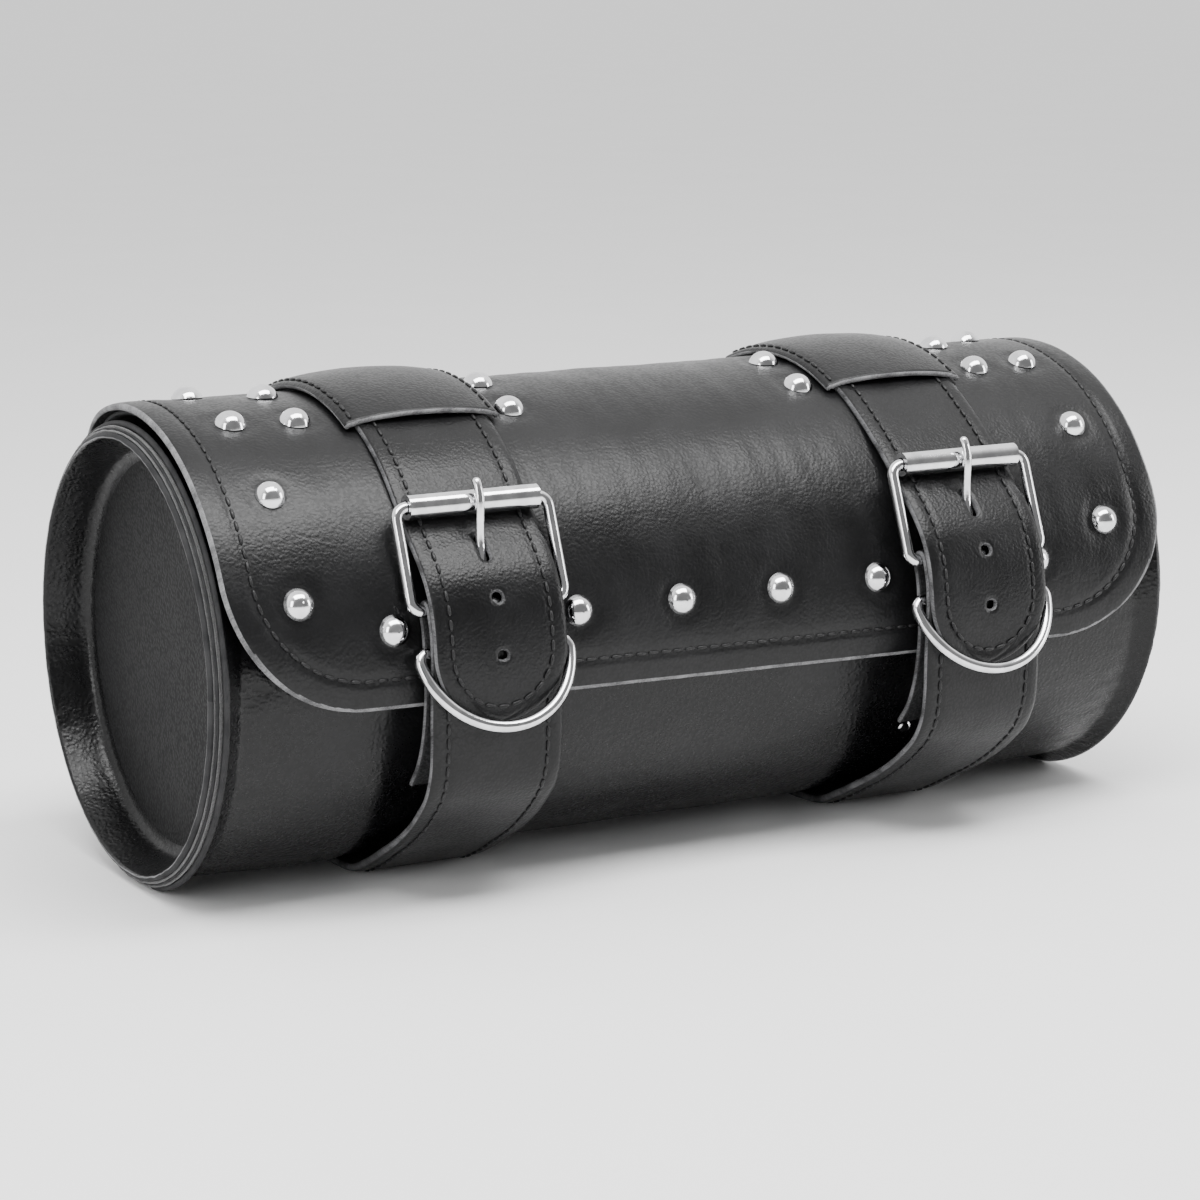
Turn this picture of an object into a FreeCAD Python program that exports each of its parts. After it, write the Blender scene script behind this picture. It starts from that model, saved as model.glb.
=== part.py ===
import FreeCAD, Part
import math
import os
import Sketcher

# Barrel tool bag in black leather for a motorcycle: a sewn barrel with recessed ends, a studded lid
# sewn on along the back, and two belts that close it with roller buckles over hanging D-rings.
#
# Lengths are in millimetres. X runs along the barrel, the buckles face -Y and +Z is up. The origin is
# on the surface the bag rests on, under the middle of its box. Every sub-part is drawn about the
# barrel's own axis, or about a buckle's own bar, and placed by its Placement. A place round the
# barrel is an angle in degrees that starts at the front, level with the axis, and grows over the top.

SIZES = (
    # where the barrel's axis lies
    ("axis_height", 66.0),
    ("axis_depth", 11.3),
    # barrel
    ("lip_along", 155.0),
    ("lip_radius", 66.8),
    ("lip_slant", 1.27),
    ("flare_along", 149.5),
    ("shell_radius", 63.6),
    ("shell_skin", 1.8),
    ("layer_gap", 0.1),
    ("liner_skin", 1.2),
    ("liner_along", 143.2),
    ("mouth_along", 141.0),
    ("mouth_front", 40.0),
    ("mouth_back", 145.0),
    # ends
    ("disc_along", 145.5),
    ("panel_skin", 1.8),
    ("board_skin", 1.5),
    ("board_radius", 58.0),
    ("brim_along", 159.5),
    ("brim_radius", 62.3),
    # lid
    ("lid_rise", 1.0),
    ("lid_along", 155.0),
    ("lining_radius", 67.2),
    ("lid_layer", 1.65),
    ("lid_front", -7.5),
    ("lid_back", 147.0),
    ("lid_corner", 40.0),
    ("hem_front", 149.5),
    ("hem_back", 162.0),
    ("hem_skin", 2.4),
    ("hem_along", 148.5),
    # belts
    ("belt_offset", 79.5),
    ("belt_width", 40.0),
    ("belt_skin", 2.2),
    ("belt_gap", 0.2),
    ("chape_skin", 1.5),
    ("tongue_skin", 2.0),
    ("belt_top_front", 64.0),
    ("belt_top_back", 139.0),
    ("belt_rear_start", -68.0),
    ("belt_rear_end", 165.0),
    ("belt_flat_front", 24.0),
    ("belt_flat_back", 17.0),
    ("right_bulge", 4.5),
    ("hole_size", 4.0),
    ("upper_hole", 22.5),
    ("lower_hole", 6.7),
    # leather loops that hold the belts
    ("loop_half", 25.0),
    ("loop_skin", 1.7),
    ("keeper_front", 64.0),
    ("keeper_back", 112.0),
    ("rear_loop_top", 178.0),
    ("rear_loop_low", 216.0),
    # buckles
    ("wire", 3.3),
    ("heel_depth", 72.14),
    ("heel_height", 20.14),
    ("roller_depth", 61.5),
    ("roller_height", 47.2),
    ("frame_half", 23.5),
    ("frame_corner", 3.4),
    ("roller_size", 7.0),
    ("roller_bore", 4.0),
    ("roller_along", 40.0),
    ("prong_size", 2.6),
    ("prong_eye", 3.3),
    ("prong_eye_width", 5.0),
    ("fold_radius", 1.98),
    ("slot_width", 6.4),
    ("slot_reach", 3.6),
    # D-rings
    ("ring_depth", 74.2),
    ("ring_height", 9.0),
    ("ring_half", 23.2),
    ("ring_corner", 3.0),
    ("ring_tilt", 30.0),
    # studs and rivets
    ("stud_size", 9.0),
    ("stud_dome", 3.4),
    ("stud_shank", 3.0),
    ("rivet_size", 4.4),
    ("rivet_dome", 1.3),
    ("rivet_spread", 8.0),
    ("rivet_angle", -34.5),
)

SIDES = (("left", -1), ("right", 1))

# Studs on each half of the lid: distance from the middle, then angle round the barrel.
STUDS = (
    (134.0, 19.5),
    (134.0, 46.0),
    (134.0, 71.5),
    (134.0, 97.0),
    (134.0, 117.5),
    (115.0, 70.5),
    (115.0, 89.0),
    (49.0, 68.5),
    (49.0, 85.0),
    (107.0, 11.5),
    (50.0, 11.5),
    (16.5, 11.5),
)

# Middle line of each leather run as (y, z) from the barrel's axis, before the right one's bulge.
TONGUE_LINE = (
    (-32.3, 65.1),
    (-46.7, 55.6),
    (-56.4, 45.6),
    (-62.9, 38.9),
    (-68.0, 34.2),
    (-74.1, 26.8),
    (-76.8, 21.2),
    (-78.8, 12.3),
    (-79.6, 0.0),
    (-78.6, -11.1),
)
CHAPE_LINE = (
    (-53.8, -48.7),
    (-66.0, -39.4),
    (-72.6, -32.0),
    (-75.3, -25.6),
    (-76.2, -19.4),
    (-76.4, -11.0),
    (-76.7, 0.0),
    (-77.0, 9.0),
    (-76.4, 15.0),
)
TAIL_LINE = (
    (-70.6, 15.0),
    (-71.55, 8.6),
    (-72.2, 0.0),
    (-71.4, -9.0),
    (-69.5, -17.5),
    (-66.0, -25.0),
    (-62.5, -29.6),
)
LEADING_LINE = (
    (-22.0, -64.9),
    (-27.0, -63.4),
    (-34.0, -59.6),
    (-43.0, -54.8),
    (-51.8, -50.2),
)
# Heights between which the right belt stands further out than the left one.
BULGE_RISE = (-47.0, -30.0)
BULGE_FALL = (62.0, 40.0)

# Middle line of a prong as (up the buckle's frame, out from it), from the eye to the tip.
PRONG_LINE = ((2.6, 0.0), (12.0, 0.0), (18.0, 1.0), (24.0, 3.4), (29.1, 5.2), (33.5, 5.0))
# The worn hole that the prong stands in, as (low end, high end) up the buckle's frame.
PRONG_HOLE = (12.4, 18.4)
PRONG_HOLE_RADIUS = 1.8

RIBBON_STEPS = 24
FAR = 400.0

doc = FreeCAD.newDocument("barrel_tool_bag")
sheet = doc.addObject("Spreadsheet::Sheet", "sizes")
nodes = []


def fill_sheet():
    """Writes each driving dimension as a plain number with its alias."""
    for row, (alias, value) in enumerate(SIZES, start=1):
        sheet.set(f"A{row}", alias)
        sheet.set(f"B{row}", str(value))
        sheet.setAlias(f"B{row}", alias)
    doc.recompute()


def size(alias):
    """A driving dimension as a number, for shapes that are worked out in code."""
    return float(sheet.get(alias))


def bind(thing, **expressions):
    """Binds properties of one object to cells; a double underscore stands for a dot."""
    for name, expression in expressions.items():
        thing.setExpression(name.replace("__", "."), expression)


def value_of(expression):
    """The number that an expression of cells comes to."""
    found = sheet.evalExpression(expression.replace("sizes.", ""))
    return float(getattr(found, "Value", found))


def add_node(thing, label, along="0", depth="0", rise="0"):
    """Labels a sub-part and places its own origin from the barrel's axis."""
    thing.Label = label
    bind(
        thing,
        Placement__Base__x=along,
        Placement__Base__y=f"sizes.axis_depth + {depth}",
        Placement__Base__z=f"sizes.axis_height + {rise}",
    )
    nodes.append(thing)


def add_shape(label, shape, along="0", depth="0", rise="0", turn=0.0):
    """A sub-part whose shape is worked out in code from the sheet's sizes."""
    feature = doc.addObject("Part::Feature", label)
    feature.Shape = shape
    feature.Placement.Rotation = FreeCAD.Rotation(FreeCAD.Vector(1, 0, 0), turn)
    add_node(feature, label, along, depth, rise)


def boolean(kind, name, base, tool):
    """A boolean of two objects."""
    result = doc.addObject(kind, name)
    result.Base = base
    result.Tool = tool
    return result


# Sketches


def new_sketch(body, name, role):
    """A sketch on one of its own body's origin planes."""
    sketch = body.newObject("Sketcher::SketchObject", name)
    plane = next(item for item in body.Origin.OriginFeatures if item.Role == role)
    sketch.AttachmentSupport = [(plane, "")]
    sketch.MapMode = "FlatFace"
    sketch.Visibility = False
    return sketch


def constrain(sketch, kind, *places):
    """Adds one constraint and gives its number."""
    return sketch.addConstraint(Sketcher.Constraint(kind, *places))


def constrain_to(sketch, kind, places, expression):
    """Adds a dimension that is bound to cells."""
    index = constrain(sketch, kind, *places, value_of(expression))
    sketch.setExpression(f"Constraints[{index}]", expression)


def hold_start(sketch, line, across, up):
    """Holds the start of a line at (across, up), each on an axis or bound to cells."""
    for kind, axis, expression in (("DistanceX", -2, across), ("DistanceY", -1, up)):
        if expression == "0":
            constrain(sketch, "PointOnObject", line, 1, axis)
        else:
            constrain_to(sketch, kind, (-1, 1, line, 1), expression)


def add_outline(sketch, outline):
    """A closed outline of straight sides whose corners are (across, up) expressions."""
    corners = [FreeCAD.Vector(value_of(across), value_of(up), 0) for across, up in outline]
    for corner, following in zip(corners, corners[1:] + corners[:1]):
        sketch.addGeometry(Part.LineSegment(corner, following), False)
    for line in range(len(outline)):
        constrain(sketch, "Coincident", line, 2, (line + 1) % len(outline), 1)
    for line, (across, up) in enumerate(outline):
        hold_start(sketch, line, across, up)


def turned(name, outline, start=None, end=None):
    """A body turned about the barrel's axis from an outline of (along, radius) expressions.

    It is a full turn, or only the stretch between two angles round the barrel."""
    body = doc.addObject("PartDesign::Body", name)
    sketch = new_sketch(body, name + "_outline", "XY_Plane")
    add_outline(sketch, outline)
    feature = body.newObject("PartDesign::Revolution", name + "_turn")
    feature.Profile = sketch
    feature.ReferenceAxis = (sketch, ["H_Axis"])
    if start is not None:
        bind(feature, Angle=f"{end} - {start}")
        bind(body, Placement__Rotation__Angle=f"180 - {end}")
        body.Placement.Rotation = FreeCAD.Rotation(FreeCAD.Vector(1, 0, 0), 180 - value_of(end))
    body.Tip = feature
    return body


def band(inner, outer, along):
    """Outline of a plain band round the barrel between two radii."""
    return ((f"-({along})", inner), (along, inner), (along, outer), (f"-({along})", outer))


def sided(outline, side):
    """The same outline on the left (side -1) or on the right (side 1)."""
    return tuple(("0" if along == "0" else f"{side} * ({along})", up) for along, up in outline)


# Barrel


SHELL_INNER = "(sizes.shell_radius - sizes.shell_skin)"
LINER_OUTER = f"({SHELL_INNER} - sizes.layer_gap)"
LINER_INNER = f"({LINER_OUTER} - sizes.liner_skin)"


def make_mouth_cutter():
    """The stretch of the barrel that is open under the lid."""
    outline = band(f"{LINER_INNER} - 5", "sizes.lip_radius + 5", "sizes.mouth_along")
    return turned("mouth_cutter", outline, "sizes.mouth_front", "sizes.mouth_back")


def make_floor_cutter():
    """Everything below the surface that the bag rests on."""
    box = doc.addObject("Part::Box", "floor_cutter")
    bind(box, Length=str(FAR), Width=str(FAR), Height="20")
    bind(box, Placement__Base__x=str(-FAR / 2), Placement__Base__y=str(-FAR / 2))
    bind(box, Placement__Base__z="-sizes.axis_height - 20")
    return box


def make_shell(mouth):
    """Outer leather of the barrel, flared at both ends and pressed flat where its rims rest."""
    slope = "(sizes.lip_along - sizes.flare_along) / (sizes.lip_radius - sizes.shell_radius)"
    inner_rise = f"(sizes.lip_radius - sizes.lip_slant - {SHELL_INNER})"
    low = f"sizes.lip_along + sizes.lip_slant - {inner_rise} * {slope}"
    half = (
        ("sizes.flare_along", "sizes.shell_radius"),
        ("sizes.lip_along", "sizes.lip_radius"),
        ("sizes.lip_along + sizes.lip_slant", "sizes.lip_radius - sizes.lip_slant"),
        (low, SHELL_INNER),
    )
    outline = half + tuple(reversed(sided(half, -1)))
    blank = turned("shell_blank", outline)
    open_shell = boolean("Part::Cut", "shell_with_mouth", blank, mouth)
    shell = boolean("Part::Cut", "barrel_shell", open_shell, make_floor_cutter())
    add_node(shell, "barrel_shell")


def make_liner(mouth):
    """Smooth lining inside the barrel."""
    blank = turned("liner_blank", band(LINER_INNER, LINER_OUTER, "sizes.liner_along"))
    liner = boolean("Part::Cut", "barrel_liner", blank, mouth)
    add_node(liner, "barrel_liner")


def make_end(name, side):
    """Recessed end panel with its turned-out wall, the board behind it and the welt in its seam."""
    wall = f"({SHELL_INNER} - sizes.layer_gap)"
    panel = (
        ("sizes.disc_along - sizes.panel_skin", "0"),
        ("sizes.disc_along - sizes.panel_skin", f"{wall} - 1.5"),
        ("sizes.disc_along", wall),
        ("sizes.flare_along + 1", wall),
        ("sizes.brim_along - 1.3", "sizes.brim_radius + 1.3"),
        ("sizes.brim_along", "sizes.brim_radius"),
        ("sizes.flare_along + 1.5", f"{wall} - sizes.panel_skin - 0.2"),
        ("sizes.disc_along + 2.5", f"{wall} - sizes.panel_skin - 0.4"),
        ("sizes.disc_along", f"{wall} - sizes.panel_skin - 2"),
        ("sizes.disc_along", "0"),
    )
    add_node(turned(f"end_panel_{name}", sided(panel, side)), f"end_panel_{name}")

    board = doc.addObject("Part::Cylinder", f"end_board_{name}")
    bind(board, Radius="sizes.board_radius", Height="sizes.board_skin")
    board.Placement.Rotation = FreeCAD.Rotation(FreeCAD.Vector(0, 1, 0), 90 * side)
    start = f"{side} * (sizes.disc_along - sizes.panel_skin - sizes.layer_gap - sizes.board_skin)"
    add_node(board, f"end_board_{name}", start)

    welt = (
        ("sizes.flare_along + 2.5", f"{SHELL_INNER} + 0.4"),
        ("sizes.flare_along + 2.5", f"{SHELL_INNER} + 0.9"),
        ("sizes.lip_along + sizes.lip_slant + 0.1", "sizes.lip_radius - sizes.lip_slant - 0.25"),
        ("sizes.brim_along - 1.45", "sizes.brim_radius + 1.45"),
    )
    add_node(turned(f"end_welt_{name}", sided(welt, side)), f"end_welt_{name}")


# Lid


LID_INNER_LEATHER = "(sizes.lining_radius + sizes.lid_layer + sizes.layer_gap)"
LID_OUTER = f"({LID_INNER_LEATHER} + sizes.lid_layer)"


def make_corner_keeper():
    """A block as wide as the lid, with its two front lower edges rounded to the lid's corners."""
    box = doc.addObject("Part::Box", "lid_block")
    bind(box, Length="2 * sizes.lid_along", Width=str(FAR), Height="120")
    bind(box, Placement__Base__x="-sizes.lid_along", Placement__Base__y=str(-FAR / 2))
    bind(box, Placement__Base__z=f"{LID_OUTER} * sin(sizes.lid_front) - 0.5")
    doc.recompute()
    radius = size("lid_corner")
    lowest = box.Shape.BoundBox.ZMin
    rounded = doc.addObject("Part::Fillet", "lid_corner_block")
    rounded.Base = box
    edges = enumerate(box.Shape.Edges, start=1)
    rounded.Edges = [(index, radius, radius) for index, edge in edges if is_low_end_edge(edge, lowest)]
    return rounded


def is_low_end_edge(edge, lowest):
    """Whether an edge of the lid's block runs from front to back along its bottom."""
    bounds = edge.BoundBox
    return bounds.YLength > 1 and abs(bounds.ZMax - lowest) < 0.01


def make_lid():
    """The lid's outer leather and its lining, both cut to the same rounded corners."""
    block = make_corner_keeper()
    layers = (
        ("lid_lining", "sizes.lining_radius", "sizes.lining_radius + sizes.lid_layer"),
        ("lid_leather", LID_INNER_LEATHER, LID_OUTER),
    )
    for name, inner, outer in layers:
        outline = band(inner, outer, "sizes.lid_along")
        blank = turned(name + "_blank", outline, "sizes.lid_front", "sizes.lid_back")
        add_node(boolean("Part::Common", name, blank, block), name, rise="sizes.lid_rise")


def make_lid_hem():
    """The lid's rear edge, turned in and sewn down on the barrel."""
    inner = "sizes.shell_radius + sizes.layer_gap"
    outline = band(inner, f"{inner} + sizes.hem_skin", "sizes.hem_along")
    add_node(turned("lid_hem", outline, "sizes.hem_front", "sizes.hem_back"), "lid_hem")


# Belts and the loops that hold them


def smooth(value, start, end):
    """Eases from 0 at the start to 1 at the end."""
    share = min(max((value - start) / (end - start), 0.0), 1.0)
    return share * share * (3 - 2 * share)


def bulged(point, bulge):
    """A point of a leather run, stood out towards the front by its belt's bulge."""
    depth, height = point
    return depth - bulge * smooth(height, *BULGE_RISE) * smooth(height, *BULGE_FALL), height


def curve_through(points):
    """A smooth edge through (y, z) points, at x = 0."""
    spline = Part.BSplineCurve()
    spline.interpolate([FreeCAD.Vector(0, depth, height) for depth, height in points])
    return spline


def offset_points(spline, distance):
    """Points along a curve in the YZ plane, moved sideways by a distance."""
    points = []
    for step in range(RIBBON_STEPS + 1):
        place = spline.FirstParameter + (spline.LastParameter - spline.FirstParameter) * step / RIBBON_STEPS
        middle = spline.value(place)
        heading = spline.tangent(place)[0]
        points.append((middle.y - heading.z * distance, middle.z + heading.y * distance))
    return points


def extruded(edges):
    """One belt's width of a closed outline in the YZ plane."""
    width = size("belt_width")
    face = Part.Face(Part.Wire(Part.__sortEdges__(edges)))
    solid = face.extrude(FreeCAD.Vector(width, 0, 0))
    solid.translate(FreeCAD.Vector(-width / 2, 0, 0))
    return solid


def ribbon(line, skin, bulge):
    """A leather run of even thickness along a middle line."""
    spline = curve_through([bulged(point, bulge) for point in line])
    sides = [curve_through(offset_points(spline, share * skin)) for share in (0.5, -0.5)]
    edges = [side.toShape() for side in sides]
    for place in ("FirstParameter", "LastParameter"):
        ends = [side.value(getattr(side, place)) for side in sides]
        edges.append(Part.makeLine(*ends))
    return extruded(edges)


def half_ring(centre, inner, outer):
    """The upper half of a ring about a bar, one belt wide: leather folded over the bar."""
    width = size("belt_width")
    start = FreeCAD.Vector(-width / 2, *centre)
    across = FreeCAD.Vector(1, 0, 0)
    rod, bore = (Part.makeCylinder(radius, width, start, across) for radius in (outer, inner))
    upper_half = Part.makeBox(width, 4 * outer, 2 * outer, start - FreeCAD.Vector(0, 2 * outer, 0))
    return rod.cut(bore).common(upper_half)


def bulge_of(side):
    """How far a side's buckle stands out further than the left one's."""
    return size("right_bulge") if side > 0 else 0.0


def on_barrel(radius, turn):
    """A point round the barrel, at x = 0, from a radius and an angle in radians."""
    return FreeCAD.Vector(0, -radius * math.cos(turn), radius * math.sin(turn))


def make_belt_rear(name, side):
    """The belt's run round the back and under the barrel, flattened where the bag rests on it."""
    inner = size("shell_radius") + size("belt_gap")
    outer = inner + size("belt_skin")
    start = math.radians(size("belt_rear_end"))
    end = math.radians(size("belt_rear_start")) + 2 * math.pi
    turns = (start, (start + end) / 2, end)
    rounds = [[on_barrel(radius, turn) for turn in turns] for radius in (inner, outer)]
    edges = [Part.Arc(*points).toShape() for points in rounds]
    edges += [Part.makeLine(rounds[0][index], rounds[1][index]) for index in (0, 2)]
    width = size("belt_width")
    front = size("belt_flat_front")
    corner = FreeCAD.Vector(-width / 2, -front, -size("axis_height"))
    flat = Part.makeBox(width, front + size("belt_flat_back"), size("belt_skin"), corner)
    leading = ribbon(LEADING_LINE, size("belt_skin"), 0.0)
    shape = extruded(edges).fuse([flat, leading]).removeSplitter()
    add_shape(f"belt_rear_{name}", shape, f"{side} * sizes.belt_offset")


def make_belt_top(name, side):
    """The belt's run over the lid, under its keeper."""
    outline = band(f"{LID_OUTER} + 0.05", f"{LID_OUTER} + 0.05 + sizes.belt_skin", "sizes.belt_width / 2")
    body = turned(f"belt_top_{name}", outline, "sizes.belt_top_front", "sizes.belt_top_back")
    add_node(body, f"belt_top_{name}", f"{side} * sizes.belt_offset", rise="sizes.lid_rise")


def frame_angle():
    """How far a buckle's frame leans up from level, in degrees."""
    rise = size("roller_height") - size("heel_height")
    return math.degrees(math.atan2(rise, size("heel_depth") - size("roller_depth")))


def make_tongue(name, side):
    """The belt's free end: over the lid, through the buckle, with its holes and its rounded tip."""
    bulge = bulge_of(side)
    width = size("belt_width")
    shape = ribbon(TONGUE_LINE, size("tongue_skin"), bulge)
    backward = FreeCAD.Vector(0, 1, 0)
    lowest = TONGUE_LINE[-1][1]
    tip_centre = FreeCAD.Vector(0, -FAR / 2, lowest + width / 2)
    tip = Part.makeCylinder(width / 2, FAR, tip_centre, backward)
    above = Part.makeBox(width, FAR, FAR, tip_centre - FreeCAD.Vector(width / 2, 0, 0))
    shape = shape.common(tip.fuse(above))
    for height in (size("upper_hole"), size("lower_hole")):
        start = FreeCAD.Vector(0, -FAR / 2, height)
        shape = shape.cut(Part.makeCylinder(size("hole_size") / 2, FAR / 2, start, backward))
    worn_hole = prong_hole()
    worn_hole.rotate(FreeCAD.Vector(0, 0, 0), FreeCAD.Vector(1, 0, 0), frame_angle())
    worn_hole.translate(FreeCAD.Vector(0, -size("heel_depth") - bulge, size("heel_height")))
    shape = shape.cut(worn_hole)
    add_shape(f"belt_tongue_{name}", shape, f"{side} * sizes.belt_offset")


def prong_hole():
    """The long worn hole, in the buckle's own frame: Y up the frame and Z out of it."""
    low, high = PRONG_HOLE
    radius = PRONG_HOLE_RADIUS
    depth = 12.0
    outward = FreeCAD.Vector(0, 0, 1)
    starts = [FreeCAD.Vector(0, place, -depth / 2) for place in PRONG_HOLE]
    ends = [Part.makeCylinder(radius, depth, start, outward) for start in starts]
    middle = Part.makeBox(2 * radius, high - low, depth, FreeCAD.Vector(-radius, low, -depth / 2))
    return middle.fuse(ends)


def make_chape(name, side):
    """The belt's lower front run, folded back over the buckle's heel bar and slotted for its prong."""
    bulge = bulge_of(side)
    skin = size("chape_skin")
    fold = size("fold_radius")
    heel = (-size("heel_depth") - bulge, size("heel_height"))
    reach = fold + skin / 2
    heel_line = (-size("heel_depth"), size("heel_height"))
    front = ribbon(CHAPE_LINE + ((heel_line[0] - reach, heel_line[1]),), skin, bulge)
    tail = ribbon(((heel_line[0] + reach, heel_line[1]),) + TAIL_LINE, skin, bulge)
    shape = front.fuse([half_ring(heel, fold, fold + skin), tail]).removeSplitter()
    slot = size("slot_width")
    slot_reach = size("slot_reach")
    corner = FreeCAD.Vector(-slot / 2, heel[0] - 3 * slot_reach, heel[1] - slot_reach)
    shape = shape.cut(Part.makeBox(slot, 6 * slot_reach, 3 * slot_reach, corner))
    add_shape(f"chape_{name}", shape, f"{side} * sizes.belt_offset")


def make_loop(label, side, base, start, end, rise="0"):
    """A leather bridge over a belt, with a foot sewn down on each side of it."""
    foot = "sizes.loop_half"
    edge = "sizes.belt_width / 2 + 0.6"
    inner = f"({base} + sizes.belt_skin + 0.4)"
    half = (
        (foot, base),
        (foot, f"{base} + sizes.loop_skin"),
        (f"{foot} - 2.5", f"{inner} + 0.8"),
        (f"{foot} - 7.5", f"{inner} + 0.2 + sizes.loop_skin"),
    )
    under = ((edge, base), (edge, inner), (f"{edge} - 4", f"{inner} + 0.2"))
    outline = half + tuple(reversed(sided(half, -1))) + sided(under, -1) + tuple(reversed(under))
    add_node(turned(label, outline, start, end), label, f"{side} * sizes.belt_offset", rise=rise)


def make_keeper(name, side):
    """The bridge on the lid that the belt's top run passes under."""
    base = f"({LID_OUTER} + 0.05)"
    make_loop(f"keeper_{name}", side, base, "sizes.keeper_front", "sizes.keeper_back", "sizes.lid_rise")


def make_rear_loop(name, side):
    """The bridge on the back of the barrel that the belt's rear run passes under."""
    base = "(sizes.shell_radius + sizes.belt_gap)"
    make_loop(f"rear_loop_{name}", side, base, "sizes.rear_loop_top", "sizes.rear_loop_low")


# Buckles and D-rings


def pipe_body(name, draw_path):
    """A closed ring of round wire along a path in the body's XY plane that crosses its Y axis at 0."""
    body = doc.addObject("PartDesign::Body", name)
    path = new_sketch(body, name + "_path", "XY_Plane")
    draw_path(path)
    section = new_sketch(body, name + "_section", "YZ_Plane")
    round_wire = Part.Circle(FreeCAD.Vector(0, 0, 0), FreeCAD.Vector(0, 0, 1), size("wire") / 2)
    section.addGeometry(round_wire, False)
    constrain(section, "Coincident", 0, 3, -1, 1)
    constrain_to(section, "Radius", (0,), "sizes.wire / 2")
    doc.recompute()
    pipe = body.newObject("PartDesign::AdditivePipe", name + "_wire")
    pipe.Profile = section
    pipe.Spine = path
    body.Tip = pipe
    return body


def corner_arc(sketch, across, up, radius, start):
    """A quarter turn about (across, up) from a start angle in degrees."""
    circle = Part.Circle(FreeCAD.Vector(across, up, 0), FreeCAD.Vector(0, 0, 1), radius)
    first = math.radians(start)
    return sketch.addGeometry(Part.ArcOfCircle(circle, first, first + math.pi / 2), False)


FRAME_LENGTH = (
    "sqrt((sizes.heel_depth - sizes.roller_depth) ^ 2 + (sizes.roller_height - sizes.heel_height) ^ 2)"
)


def draw_frame_path(sketch):
    """A rounded rectangle whose lower side, the heel bar, lies on the X axis."""
    half = size("frame_half")
    length = value_of(FRAME_LENGTH)
    corner = size("frame_corner")
    straight = half - corner
    points = (
        ((-straight, 0), (straight, 0)),
        ((half, corner), (half, length - corner)),
        ((straight, length), (-straight, length)),
        ((-half, length - corner), (-half, corner)),
    )
    for start, end in points:
        line = Part.LineSegment(FreeCAD.Vector(*start, 0), FreeCAD.Vector(*end, 0))
        sketch.addGeometry(line, False)
    corner_arc(sketch, straight, corner, corner, 270)
    corner_arc(sketch, straight, length - corner, corner, 0)
    corner_arc(sketch, -straight, length - corner, corner, 90)
    corner_arc(sketch, -straight, corner, corner, 180)
    for side in range(4):
        constrain(sketch, "Tangent", side, 2, side + 4, 1)
        constrain(sketch, "Tangent", side + 4, 2, (side + 1) % 4, 1)
    for side in (0, 2):
        constrain(sketch, "Horizontal", side)
        constrain(sketch, "Vertical", side + 1)
    for side in (5, 6, 7):
        constrain(sketch, "Equal", 4, side)
    constrain_to(sketch, "Radius", (4,), "sizes.frame_corner")
    constrain(sketch, "PointOnObject", 0, 1, -1)
    constrain_to(sketch, "DistanceX", (-1, 1, 1, 1), "sizes.frame_half")
    constrain_to(sketch, "DistanceX", (3, 1, 1, 1), "2 * sizes.frame_half")
    constrain_to(sketch, "DistanceY", (-1, 1, 2, 1), FRAME_LENGTH)


def draw_ring_path(sketch):
    """A D: a straight bar on the X axis and a half circle below it, with rounded corners."""
    radius = size("ring_half")
    corner = size("ring_corner")
    across = math.sqrt((radius - corner) ** 2 - corner ** 2)
    lean = math.atan2(corner, across)
    sketch.addGeometry(Part.LineSegment(FreeCAD.Vector(across, 0, 0), FreeCAD.Vector(-across, 0, 0)), False)
    left = Part.Circle(FreeCAD.Vector(-across, -corner, 0), FreeCAD.Vector(0, 0, 1), corner)
    sketch.addGeometry(Part.ArcOfCircle(left, math.pi / 2, math.pi + lean), False)
    middle = Part.Circle(FreeCAD.Vector(0, 0, 0), FreeCAD.Vector(0, 0, 1), radius)
    sketch.addGeometry(Part.ArcOfCircle(middle, math.pi + lean, 2 * math.pi - lean), False)
    right = Part.Circle(FreeCAD.Vector(across, -corner, 0), FreeCAD.Vector(0, 0, 1), corner)
    sketch.addGeometry(Part.ArcOfCircle(right, -lean, math.pi / 2), False)
    constrain(sketch, "Tangent", 0, 2, 1, 1)
    constrain(sketch, "Tangent", 1, 2, 2, 1)
    constrain(sketch, "Tangent", 2, 2, 3, 1)
    constrain(sketch, "Tangent", 3, 2, 0, 1)
    constrain(sketch, "Coincident", 2, 3, -1, 1)
    constrain(sketch, "Horizontal", 0)
    constrain(sketch, "PointOnObject", 0, 1, -1)
    constrain(sketch, "Equal", 1, 3)
    constrain_to(sketch, "Radius", (1,), "sizes.ring_corner")
    constrain_to(sketch, "Radius", (2,), "sizes.ring_half")


def heel_depth(side):
    """Expression for a side's heel bar, from the barrel's axis towards the front."""
    bulge = " - sizes.right_bulge" if side > 0 else ""
    return f"-sizes.heel_depth{bulge}"


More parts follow.
